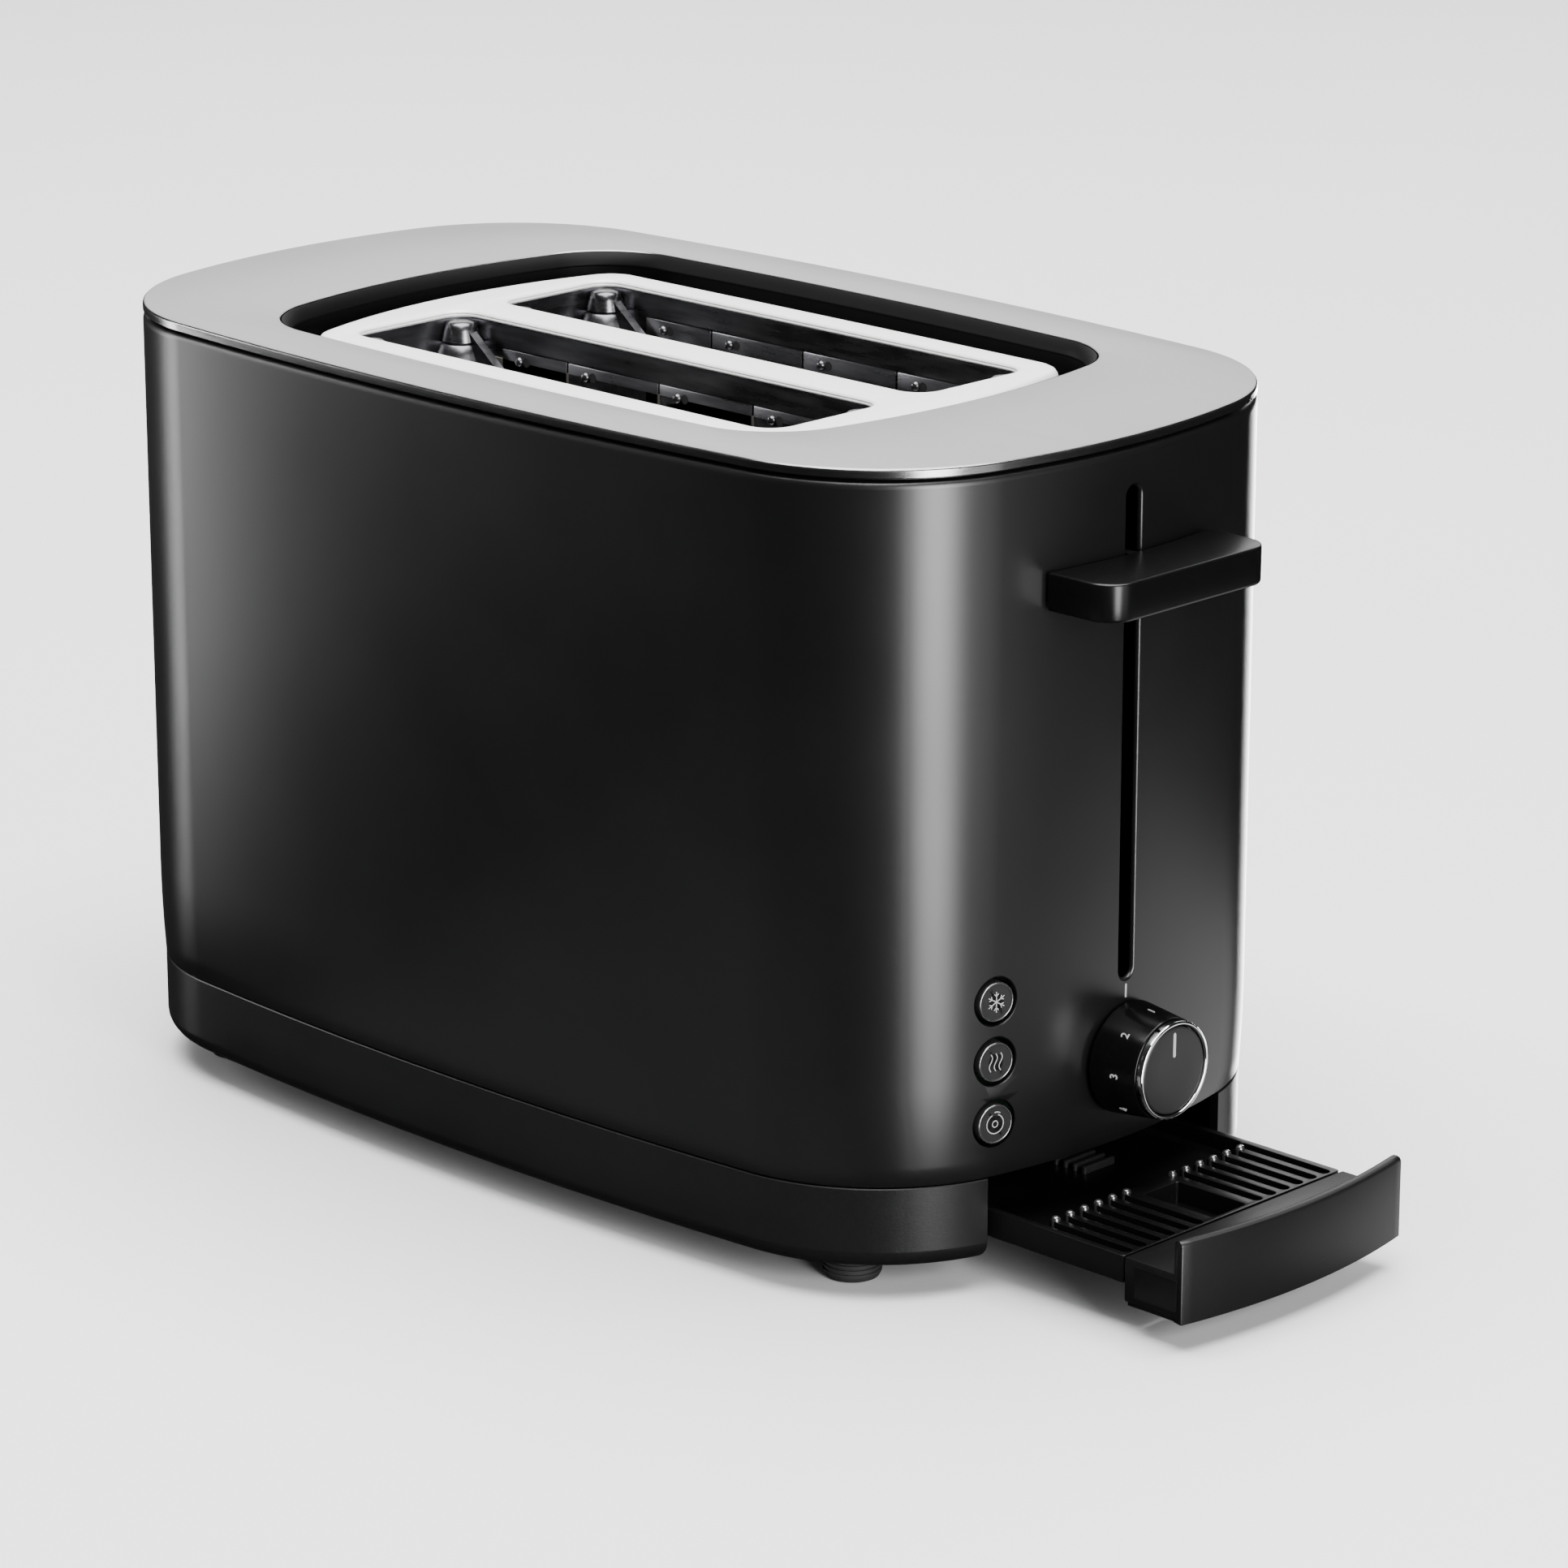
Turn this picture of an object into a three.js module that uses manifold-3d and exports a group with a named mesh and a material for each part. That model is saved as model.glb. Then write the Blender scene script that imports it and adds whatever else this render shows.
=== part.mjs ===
// A two-slot pop-up toaster, in millimetres, +Z up, with its crumb drawer pulled out.
// The control end (lever, browning knob, three buttons, drawer) faces +X.
// Pieces are made around the middle of the body, standing on z = 0, and the last group moves them so
// that the origin is at the bottom centre of the whole object's box.
import * as THREE from "three";
import { mergeVertices } from "three/addons/utils/BufferGeometryUtils.js";
import Module from "manifold-3d";

const wasm = await Module();
wasm.setup();

// ---------------------------------------------------------------- driving dimensions

const gap = 0.3; // between pieces that rest on each other

// Body: four bowed sides that meet in rounder corners.
const body = { halfLength: 145, halfWidth: 81.6, longRadius: 1086, shortRadius: 180, cornerRadius: 49.2 };
const height = 197.3; // from the table to the top plate
const shellWall = 1;
const seamZ = 28.1; // where the shell meets the base

// Base and feet.
const baseWall = 2.5;
const baseFloor = 2.5;
const baseInset = 0.8;
const baseEdge = 4.5;
const foot = { height: 7.8, radius: 7, plugRadius: 2.5, plugHeight: 4, endInset: 35.3, sideInset: 27.2 };
const screw = { headRadius: 3.2, headHeight: 1.9, radius: 1.5 };
const post = { halfSize: 4.5, top: 23.7 };

// Top plate, well and slot frame.
const plate = { sheet: 0.9, rimHeight: 2.2, rimWidth: 1.2, shadowGap: 0.7 };
const plateMargin = { end: 48.9, side: 17.9 }; // plate between the body's edge and the recess
const recessCurve = { longRadius: 1255, shortRadius: 201, cornerRadius: 23.6 };
const well = { slope: 3, slopeDrop: 3.2, ledge: 2, flange: 3.7 };
const frame = { endGap: 9.6, sideGap: 10.8, drop: 3.7, thickness: 5, edge: 1.4 };
const frameMargin = { end: 14, side: 9.4 }; // frame outside the slots
const frameCurve = { longRadius: 6500, shortRadius: 153.8, cornerRadius: 9.9 };
const centreBar = 17.4;
const slotCorner = 6;
const liner = { sheet: 0.5 };

// Chamber.
const sheet = 0.8; // chassis end plates
const chassisBottom = 24;
const board = { thickness: 0.8, clearance: 2, bottom: 60, endMargin: 8 };
const reflector = { thickness: 0.5, clearance: 5 };
const guide = { wire: 1.6, wires: 8, travel: 5, rackClearance: 0.4, bottom: 62, linerClearance: 8.1 };

// Lever, carriage and bread racks.
const leverSlot = { bottom: 68, topMargin: 12, width: 4.6 };
const handle = { topMargin: 27.1, thickness: 9, halfWidth: 27.8, reach: 18.4, corner: 4, clearance: 1.3 };
const stem = { thickness: 2.8, height: 8, stopClearance: 1.7 };
const extraLift = 15;
const rack = { downZ: 58, height: 8, thickness: 1.5, bars: 8, bar: 2, barProud: 0.5 };
const carriage = { setback: 9.5, depth: 15, halfWidth: 21, above: 3.6, below: 10.4, plate: 1.8 };
const rod = { radius: 2.5, spread: 14, setback: 17.5, runningClearance: 0.5 };
const bracket = { sheet: 1.2, halfWidth: 20, reach: 25, lowZ: 40, tab: 12 };
const spring = { meanRadius: 3.9, wireRadius: 0.6, turns: 14 };
const magnet = { halfDepth: 4.5, halfWidth: 3, coilWall: 3, coilHeight: 12, armature: 3.2 };

// Controls on the +X end.
const knob = { z: 49, baseRadius: 13.5, tipRadius: 12, length: 13, boreRadius: 3.3, boreDepth: 8 };
const knobRing = { radius: 11.8, length: 1.6, wall: 1.1 };
const shaftRadius = 3;
const button = { y: -39.7, radius: 4.7, clearance: 1.05, travel: 1.2, proud: 0.4, cap: 4, stemRadius: 2 };
const buttons = [
  ["defrost", 70.8],
  ["reheat", 56.3],
  ["bagel", 41.3],
];
const circuit = { setback: 23, thickness: 1.6, bottom: 32, top: 63, tabTop: 80, sideY: 20 };
const potSize = { halfWidth: 8, depth: 8 };
const keySwitch = { halfWidth: 3, depth: 3.5 };

// Crumb drawer.
const drawer = { halfWidth: 39, bottom: 7.3, top: 24.1, depth: 21.8, lip: 3.2, frontInset: 1.1 };
const drawerPulledOut = 57.3;
const notch = { sideClearance: 1.6, topMargin: 1.7 };
const tray = { bottom: 12.6, deck: 19.2, floor: 1.6, wall: 2, sideClearance: 0.6 };
const ribs = { length: 24, groove: 2.8, pitch: 4.9, perSide: 6, firstY: 10.5, middleHalfWidth: 6, edge: 1.1 };
const rail = { wall: 2.5, ledge: 4, top: 21, slide: 0.5 };

// Back of the body.
const backPanel = { halfWidth: 44, bottom: 36, topMargin: 13.3, proud: 0.5, thickness: 2.1, corner: 6 };
const gland = { z: 17, bore: 2.6, radius: 4.2, flangeRadius: 6.2, flange: 0.8 };

// ---------------------------------------------------------------- derived dimensions

const shellTop = height - plate.rimHeight - plate.shadowGap;
const recess = {
  halfLength: body.halfLength - plateMargin.end,
  halfWidth: body.halfWidth - plateMargin.side,
  ...recessCurve,
};
const frameOutline = {
  halfLength: recess.halfLength - frame.endGap,
  halfWidth: recess.halfWidth - frame.sideGap,
  ...frameCurve,
};
const frameTop = height - frame.drop;
const frameBottom = frameTop - frame.thickness;
const ledgeBottom = frameBottom - gap - well.ledge;
const slot = {
  halfLength: frameOutline.halfLength - frameMargin.end,
  inner: centreBar / 2,
  outer: frameOutline.halfWidth - frameMargin.side,
};
const slotY = (slot.inner + slot.outer) / 2;
const slotHalfWidth = (slot.outer - slot.inner) / 2;
const chassisX = slot.halfLength + frameMargin.end; // inner faces of the end plates
const chassisTop = ledgeBottom - gap;
const bracketTopZ = chassisTop;
const guideOffset = slotHalfWidth - guide.wire / 2 - gap;
const boardOffset = guideOffset + guide.wire / 2 + board.clearance;
const reflectorY = slotY + boardOffset + board.thickness + reflector.clearance;
const chassisHalfWidth = reflectorY + reflector.thickness + gap;

const leverSlotTop = height - leverSlot.topMargin;
const leverZ = height - handle.topMargin - handle.thickness / 2;
const leverTravel = leverZ - stem.height / 2 - leverSlot.bottom - stem.stopClearance;
const rackZ = rack.downZ + leverTravel;
const rackTop = rackZ + rack.height + rack.barProud;
const linerBottom = rackTop + extraLift + 2 * gap;
const guideTop = linerBottom - guide.linerClearance;
const rackHalfWidth = guideOffset - guide.wire / 2 - guide.travel - guide.rackClearance;
const mechanismX = chassisX + sheet + gap; // face of the end plate that the mechanism hangs on
const carriageX = mechanismX + carriage.setback;
const rodX = mechanismX + rod.setback - gap;
const baseTop = seamZ - gap;
const floorTop = foot.height + baseFloor;
const circuitX = body.halfLength - circuit.setback;
const postX = mechanismX + post.halfSize;
const trayHalfWidth = drawer.halfWidth - tray.sideClearance;
const railInner = trayHalfWidth + rail.slide;
const postY = Math.max(chassisHalfWidth - post.halfSize - gap, railInner + rail.wall + post.halfSize);
const drawerFace = body.halfLength - drawer.frontInset;
const drawerBack = drawerFace - drawer.depth;

// ---------------------------------------------------------------- geometry helpers

const xAxis = new THREE.Vector3(1, 0, 0);
const yAxis = new THREE.Vector3(0, 1, 0);
const zAxis = new THREE.Vector3(0, 0, 1);

// A closed geometry as a manifold solid.
function solid(geometry) {
  const bare = geometry.clone();
  bare.deleteAttribute("normal");
  bare.deleteAttribute("uv");
  const merged = mergeVertices(bare, 1e-4);
  const mesh = new wasm.Mesh({
    numProp: 3,
    vertProperties: merged.attributes.position.array,
    triVerts: new Uint32Array(merged.index.array),
  });
  return new wasm.Manifold(mesh);
}

// Points along an arc, without its last point.
function arc(centre, radius, from, to, steps) {
  return Array.from({ length: steps }, (_, i) => {
    const angle = from + ((to - from) * i) / steps;
    return new THREE.Vector2(centre.x + radius * Math.cos(angle), centre.y + radius * Math.sin(angle));
  });
}

// Centre of the corner arc that is tangent inside both side arcs, and the angles where it meets them.
function cornerOf({ halfLength, halfWidth, longRadius, shortRadius, cornerRadius }) {
  const long = new THREE.Vector2(0, halfWidth - longRadius);
  const short = new THREE.Vector2(halfLength - shortRadius, 0);
  const toShort = short.clone().sub(long);
  const span = toShort.length();
  const longReach = longRadius - cornerRadius;
  const shortReach = shortRadius - cornerRadius;
  const along = (longReach ** 2 - shortReach ** 2 + span ** 2) / (2 * span);
  const across = Math.sqrt(longReach ** 2 - along ** 2);
  const unit = toShort.divideScalar(span);
  const centre = new THREE.Vector2(
    long.x + unit.x * along + unit.y * across,
    long.y + unit.y * along - unit.x * across,
  );
  const longAngle = centre.clone().sub(long).angle();
  const shortAngle = centre.clone().sub(short).angle();
  return { long, short, centre, longAngle, shortAngle };
}

// Closed outline with bowed sides, drawn inside the given one by the inset.
function bowedOutline(outline, inset = 0, sideSteps = 6, cornerSteps = 8) {
  const { long, short, centre, longAngle, shortAngle } = cornerOf(outline);
  const longRadius = outline.longRadius - inset;
  const shortRadius = outline.shortRadius - inset;
  const cornerRadius = outline.cornerRadius - inset;
  const farCorner = new THREE.Vector2(-centre.x, centre.y);
  const farLong = Math.PI - longAngle;
  const farShort = Math.PI - shortAngle;
  const half = [
    ...arc(centre, cornerRadius, shortAngle, longAngle, cornerSteps),
    ...arc(long, longRadius, longAngle, farLong, sideSteps),
    ...arc(farCorner, cornerRadius, farLong, farShort, cornerSteps),
    ...arc(short.clone().negate(), shortRadius, farShort, Math.PI + shortAngle, sideSteps),
  ];
  return new THREE.Shape([...half, ...half.map((p) => p.clone().negate())]);
}

// Rectangle with round corners.
function roundedRectangle(x0, x1, y0, y1, radius, steps = 4) {
  const corners = [
    [x1 - radius, y1 - radius],
    [x0 + radius, y1 - radius],
    [x0 + radius, y0 + radius],
    [x1 - radius, y0 + radius],
  ];
  const points = corners.flatMap(([x, y], i) => {
    const start = (i * Math.PI) / 2;
    const centre = new THREE.Vector2(x, y);
    const end = new THREE.Vector2(
      x + radius * Math.cos(start + Math.PI / 2),
      y + radius * Math.sin(start + Math.PI / 2),
    );
    return [...arc(centre, radius, start, start + Math.PI / 2, steps), end];
  });
  return new THREE.Shape(points);
}

function prism(shape, z0, z1) {
  const geometry = new THREE.ExtrudeGeometry(shape, { depth: z1 - z0, bevelEnabled: false });
  return solid(geometry.translate(0, 0, z0));
}

// A shape drawn in Y and Z, extruded along X.
function prismAlongX(shape, x0, x1) {
  const geometry = new THREE.ExtrudeGeometry(shape, { depth: x1 - x0, bevelEnabled: false });
  geometry.translate(0, 0, x0);
  return solid(geometry.applyMatrix4(new THREE.Matrix4().makeBasis(yAxis, zAxis, xAxis)));
}

// A prism whose two ends are drawn in by the edge size, straight or rounded.
function edgedPrism(shape, z0, z1, edge, segments) {
  const geometry = new THREE.ExtrudeGeometry(shape, {
    depth: z1 - z0 - 2 * edge,
    bevelThickness: edge,
    bevelSize: edge,
    bevelOffset: -edge,
    bevelSegments: segments,
  });
  return solid(geometry.translate(0, 0, z0 + edge));
}

function block(x0, x1, y0, y1, z0, z1) {
  const geometry = new THREE.BoxGeometry(x1 - x0, y1 - y0, z1 - z0);
  return solid(geometry.translate((x0 + x1) / 2, (y0 + y1) / 2, (z0 + z1) / 2));
}

// Upright round bar.
function bar(x, y, radius, z0, z1, sides = 16) {
  const geometry = new THREE.CylinderGeometry(radius, radius, z1 - z0, sides);
  return solid(geometry.rotateX(Math.PI / 2).translate(x, y, (z0 + z1) / 2));
}

// Solid of revolution about +Z from radius and height pairs, listed from the bottom of the axis outwards.
function turned(profile, sides = 24) {
  const points = profile.map(([radius, z]) => new THREE.Vector2(radius, z));
  return solid(new THREE.LatheGeometry(points, sides).rotateX(Math.PI / 2));
}

function ringWall(outline, outerInset, innerInset, z0, z1) {
  const outer = prism(bowedOutline(outline, outerInset), z0, z1);
  return outer.subtract(prism(bowedOutline(outline, innerInset), z0 - 1, z1 + 1));
}

function placed(piece, matrix) {
  return piece.transform(matrix.elements);
}

// Frame on the shell's outer skin at a given side position and height, its local +Z pointing outwards.
function skinFrame(y, z) {
  const { short, centre, shortAngle } = cornerOf(body);
  const onSide = Math.abs(y) <= body.shortRadius * Math.sin(shortAngle);
  const middle = onSide ? short : new THREE.Vector2(centre.x, Math.sign(y) * centre.y);
  const radius = onSide ? body.shortRadius : body.cornerRadius;
  const angle = Math.asin((y - middle.y) / radius);
  return new THREE.Matrix4()
    .makeTranslation(middle.x + radius * Math.cos(angle), y, z)
    .multiply(new THREE.Matrix4().makeRotationZ(angle))
    .multiply(new THREE.Matrix4().makeRotationY(Math.PI / 2));
}

// ---------------------------------------------------------------- finishes and meshes

const blackShell = { color: 0x202022, roughness: 0.38, metalness: 0.5 };
const blackPlastic = { color: 0x1b1b1c, roughness: 0.55, metalness: 0 };
const glossBlack = { color: 0x0d0d0e, roughness: 0.18, metalness: 0 };
const rubber = { color: 0x121212, roughness: 0.85, metalness: 0 };
const brushedSteel = { color: 0xb9babb, roughness: 0.35, metalness: 1 };
const satinSteel = { color: 0xdededc, roughness: 0.4, metalness: 0.6 };
const zincSteel = { color: 0x9a9c9e, roughness: 0.45, metalness: 0.9 };
const chrome = { color: 0xe8e8ea, roughness: 0.08, metalness: 1 };
const mica = { color: 0xb8ab8c, roughness: 0.7, metalness: 0 };
const copper = { color: 0xa65a2c, roughness: 0.4, metalness: 0.8 };
const boardGreen = { color: 0x2c5a34, roughness: 0.6, metalness: 0 };

function piece(name, made, finish) {
  const { vertProperties, triVerts } = made.getMesh();
  const shared = new THREE.BufferGeometry();
  shared.setAttribute("position", new THREE.BufferAttribute(new Float32Array(vertProperties), 3));
  shared.setIndex(new THREE.BufferAttribute(new Uint32Array(triVerts), 1));
  const geometry = shared.toNonIndexed();
  geometry.computeVertexNormals();
  const mesh = new THREE.Mesh(geometry, new THREE.MeshStandardMaterial(finish));
  mesh.name = name;
  return mesh;
}

// ---------------------------------------------------------------- shell, panel and top

function leverSlotCut() {
  const half = leverSlot.width / 2;
  const shape = roundedRectangle(-half, half, leverSlot.bottom, leverSlotTop, half - 0.01);
  return prismAlongX(shape, body.halfLength - shellWall - 3, body.halfLength + 1);
}

function panelBlank(clearance) {
  const shape = roundedRectangle(
    -backPanel.halfWidth - clearance,
    backPanel.halfWidth + clearance,
    backPanel.bottom - clearance,
    height - backPanel.topMargin + clearance,
    backPanel.corner + clearance,
  );
  return prismAlongX(shape, -body.halfLength - 5, -body.halfLength / 2);
}

function buttonHole(z) {
  const hole = bar(0, 0, button.radius + button.clearance, -shellWall - 2, 2, 24);
  return placed(hole, skinFrame(button.y, z));
}

function outerShell() {
  const wall = ringWall(body, 0, shellWall, seamZ, shellTop);
  const shaftHole = placed(bar(0, 0, shaftRadius + 1, -shellWall - 2, 2), skinFrame(0, knob.z));
  const cuts = [leverSlotCut(), shaftHole, panelBlank(gap), ...buttons.map(([, z]) => buttonHole(z))];
  return piece("outer_shell", cuts.reduce((left, cut) => left.subtract(cut), wall), blackShell);
}

function rearPanel() {
  const { proud, thickness, bottom } = backPanel;
  const band = ringWall(body, -proud, thickness - proud, bottom - 1, height);
  return piece("rear_panel", band.intersect(panelBlank(0)), blackPlastic);
}

// Drawn sheet with a rim turned down all round and a hole for the well.
function topPlate() {
  const outer = edgedPrism(bowedOutline(body), height - plate.rimHeight - 1, height, 0.5, 1);
  const hollow = prism(bowedOutline(body, plate.rimWidth), height - 9, height - plate.sheet);
  const under = prism(bowedOutline(body, -1), height - 9, height - plate.rimHeight);
  const hole = prism(bowedOutline(recess), height - 9, height + 1);
  return piece("top_plate", outer.subtract(hollow).subtract(under).subtract(hole), brushedSteel);
}

// Moulded ring under the plate: a sloping wall round the recess, and a ledge that carries the slot frame.
function slotWell() {
  const flangeTop = height - plate.sheet - gap;
  const collarTop = height - gap;
  const rimInside = Math.max(shellWall, plate.rimWidth) + gap;
  const flange = prism(bowedOutline(body, rimInside), flangeTop - well.flange, flangeTop);
  const collar = prism(bowedOutline(recess, gap), ledgeBottom, collarTop);
  const inside = bowedOutline(recess, gap + well.slope);
  const mouth = solid(
    new THREE.ExtrudeGeometry(inside, {
      depth: 2,
      bevelThickness: well.slopeDrop,
      bevelSize: well.slope,
      bevelSegments: 1,
    }).translate(0, 0, collarTop),
  );
  const pit = prism(inside, ledgeBottom + well.ledge, collarTop);
  const opening = roundedRectangle(
    -chassisX + 4,
    chassisX - 4,
    -slot.outer - 5,
    slot.outer + 5,
    slotCorner,
  );
  const through = prism(opening, ledgeBottom - 1, collarTop);
  return piece("slot_well", flange.add(collar).subtract(mouth).subtract(pit).subtract(through), blackPlastic);
}

function slotShape(side, clearance = 0) {
  const y0 = side > 0 ? slot.inner : -slot.outer;
  const y1 = side > 0 ? slot.outer : -slot.inner;
  return roundedRectangle(
    -slot.halfLength - clearance,
    slot.halfLength + clearance,
    y0 - clearance,
    y1 + clearance,
    slotCorner + clearance,
  );
}

function slotFrame() {
  const blank = edgedPrism(bowedOutline(frameOutline), frameBottom, frameTop, frame.edge, 2);
  const left = prism(slotShape(1), frameBottom - 1, frameTop + 1);
  const right = prism(slotShape(-1), frameBottom - 1, frameTop + 1);
  return piece("slot_frame", blank.subtract(left).subtract(right), satinSteel);
}

// Pressed sleeve that leads the bread from the frame into the chamber, above the rack's highest place.
function slotLiner(name, side) {
  const top = frameBottom - gap;
  const outer = prism(slotShape(side, gap + liner.sheet), linerBottom, top);
  const inner = prism(slotShape(side, gap), linerBottom - 1, top + 1);
  return piece(name, outer.subtract(inner), zincSteel);
}

// ---------------------------------------------------------------- base and feet

const corners = [
  ["front_right", 1, -1],
  ["front_left", 1, 1],
  ["rear_right", -1, -1],
  ["rear_left", -1, 1],
];
const footX = body.halfLength - foot.endInset;
const footY = body.halfWidth - foot.sideInset;

function baseTub() {
  const rounded = edgedPrism(bowedOutline(body, baseInset), foot.height, baseTop + baseEdge, baseEdge, 2);
  const lid = prism(bowedOutline(body, -5), baseTop, baseTop + 2 * baseEdge);
  const cavity = prism(bowedOutline(body, baseInset + baseWall), floorTop, baseTop + 1);
  return rounded.subtract(lid).subtract(cavity);
}

// Side rail with a ledge under the tray's edge.
function drawerRail(side) {
  const x0 = -chassisX - 4;
  const x1 = drawerBack - 2;
  const wall = block(x0, x1, railInner, railInner + rail.wall, floorTop - 0.5, rail.top);
  const ledge = block(x0, x1, railInner - rail.ledge, railInner + 0.5, floorTop - 0.5, tray.bottom - gap);
  const both = wall.add(ledge);
  return side > 0 ? both : both.mirror([0, 1, 0]);
}

function baseHousing() {
  const half = drawer.halfWidth + notch.sideClearance;
  const opening = block(drawerBack - 1, body.halfLength + 1, -half, half, 0, seamZ - notch.topMargin);
  let made = baseTub().subtract(opening).add(drawerRail(1)).add(drawerRail(-1));
  for (const [, sx, sy] of corners) {
    const x = sx * postX;
    const y = sy * postY;
    const { halfSize } = post;
    const pillar = block(x - halfSize, x + halfSize, y - halfSize, y + halfSize, floorTop - 0.5, post.top);
    made = made
      .add(pillar)
      .subtract(bar(x, y, screw.radius + gap, 0, post.top + 1, 12))
      .subtract(bar(x, y, screw.headRadius + gap, 0, foot.height + screw.headHeight + gap))
      .subtract(bar(sx * footX, sy * footY, foot.plugRadius + gap, 0, floorTop + 1, 12));
  }
  const glandHole = bar(0, 0, gland.radius + gap, -5, 5).transform(glandMatrix().elements);
  return piece("base_housing", made.subtract(glandHole), blackPlastic);
}

function rubberFoot([place, sx, sy]) {
  const { radius, plugRadius } = foot;
  const top = foot.height - gap;
  const profile = [
    [0, 0],
    [radius - 1.5, 0],
    [radius - 0.4, 0.5],
    [radius, 1.6],
    [radius, top],
    [plugRadius, top],
    [plugRadius, top + foot.plugHeight],
    [0, top + foot.plugHeight],
  ];
  const mesh = piece("foot_" + place, turned(profile), rubber);
  mesh.position.set(sx * footX, sy * footY, 0);
  return mesh;
}

function baseScrew([place, sx, sy]) {
  const head = foot.height + 0.2;
  const profile = [
    [0, head],
    [screw.headRadius, head],
    [screw.headRadius, head + screw.headHeight - 0.2],
    [screw.radius, head + screw.headHeight - 0.2],
    [screw.radius, post.top - 1],
    [0, post.top - 1],
  ];
  const mesh = piece("base_screw_" + place, turned(profile, 12), zincSteel);
  mesh.position.set(sx * postX, sy * postY, 0);
  return mesh;
}

// Frame of the cord gland on the base's back wall, its local +Z pointing outwards.
function glandMatrix() {
  return new THREE.Matrix4()
    .makeTranslation(-body.halfLength + baseInset, 0, gland.z)
    .multiply(new THREE.Matrix4().makeRotationY(-Math.PI / 2));
}

function cordGland() {
  const { radius, flangeRadius, flange, bore } = gland;
  const profile = [
    [bore, -baseWall - 2],
    [radius, -baseWall - 2],
    [radius, gap],
    [flangeRadius, gap],
    [flangeRadius - 0.4, gap + flange],
    [bore + 0.4, gap + flange],
    [bore, gap + flange - 0.4],
    [bore, -baseWall - 2],
  ];
  const mesh = piece("cord_gland", turned(profile), rubber);
  mesh.applyMatrix4(glandMatrix());
  return mesh;
}

// ---------------------------------------------------------------- chamber

// End plate with a foot flange on the two posts and two upright slots for the bread racks.
function chassisPlate(name, side) {
  const { halfSize } = post;
  const half = chassisHalfWidth;
  let made = block(chassisX, chassisX + sheet, -half, half, chassisBottom, chassisTop);
  const slotHalf = rack.thickness / 2 + 0.8;
  for (const sy of [-1, 1]) {
    const y = sy * slotY;
    const z0 = rack.downZ - 3;
    const z1 = rackZ + rack.height + extraLift + 3;
    const flange = block(
      chassisX + 0.5,
      postX + halfSize,
      sy * postY - halfSize,
      sy * postY + halfSize,
      chassisBottom,
      chassisBottom + sheet,
    );
    made = made.add(flange).subtract(block(chassisX - 1, chassisX + 3, y - slotHalf, y + slotHalf, z0, z1));
  }
  return piece(name, side > 0 ? made : made.mirror([1, 0, 0]), zincSteel);
}

function reflectorPlate(name, side) {
  const x = chassisX - gap;
  const mesh = piece(name, block(-x, x, 0, reflector.thickness, chassisBottom, chassisTop), brushedSteel);
  mesh.position.y = side > 0 ? reflectorY : -reflectorY - reflector.thickness;
  return mesh;
}

// Mica board that carries the heating wire.
function heaterBoard(name, y) {
  const x = chassisX - board.endMargin;
  const top = frameBottom - gap - 5;
  const made = block(-x, x, -board.thickness / 2, board.thickness / 2, board.bottom, top);
  const mesh = piece(name, made, mica);
  mesh.position.y = y;
  return mesh;
}

// Wire guard that leans the bread to the middle of its slot.
function breadGuide(name, y) {
  const half = guide.wire / 2;
  const x = chassisX - gap;
  const reach = slot.halfLength - 4;
  let made = block(-x, x, -half, half, guide.bottom, guide.bottom + guide.wire);
  made = made.add(block(-x, x, -half, half, guideTop - guide.wire, guideTop));
  for (let i = 0; i < guide.wires; i++) {
    const at = -reach + (2 * reach * i) / (guide.wires - 1);
    made = made.add(block(at - half, at + half, -half, half, guide.bottom, guideTop));
  }
  const mesh = piece(name, made, zincSteel);
  mesh.position.y = y;
  return mesh;
}

// ---------------------------------------------------------------- lever mechanism

// Bracket on the front end plate that holds one end of both guide rods.
function rodBracket(name, z) {
  const { halfWidth, sheet: thickness, reach, tab } = bracket;
  const shelf = block(mechanismX, mechanismX + reach, -halfWidth, halfWidth, z, z + thickness);
  const upright = block(mechanismX, mechanismX + thickness, -halfWidth, halfWidth, z - tab, z + thickness);
  return piece(name, shelf.add(upright), zincSteel);
}

function guideRod(name, side) {
  const z0 = bracket.lowZ + bracket.sheet + gap;
  return piece(name, bar(rodX, side * rod.spread, rod.radius, z0, bracketTopZ - bracket.sheet - gap), chrome);
}

// Helix about the local Z axis.
class Helix extends THREE.Curve {
  constructor(radius, length, turns) {
    super();
    Object.assign(this, { radius, length, turns });
  }

  getPoint(t, target = new THREE.Vector3()) {
    const angle = 2 * Math.PI * this.turns * t;
    return target.set(this.radius * Math.cos(angle), this.radius * Math.sin(angle), this.length * t);
  }
}

function returnSpring() {
  const { meanRadius, wireRadius, turns } = spring;
  const z0 = bracket.lowZ + bracket.sheet + gap + wireRadius;
  const z1 = leverZ - carriage.below - gap - wireRadius;
  const section = new THREE.Shape(arc(new THREE.Vector2(), wireRadius, 0, 2 * Math.PI, 5));
  const coil = new THREE.ExtrudeGeometry(section, {
    steps: turns * 9,
    extrudePath: new Helix(meanRadius, z1 - z0, turns),
  });
  const mesh = piece("return_spring", solid(coil), zincSteel);
  mesh.position.set(rodX, -rod.spread, z0);
  return mesh;
}

function magnetCore() {
  const z0 = bracket.lowZ + bracket.sheet + gap;
  const { halfDepth, halfWidth } = magnet;
  const z1 = leverZ - carriage.below - gap - magnet.armature - leverTravel - gap;
  const made = block(rodX - halfDepth, rodX + halfDepth, -halfWidth, halfWidth, z0, z1);
  return piece("magnet_core", made, zincSteel);
}

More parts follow.
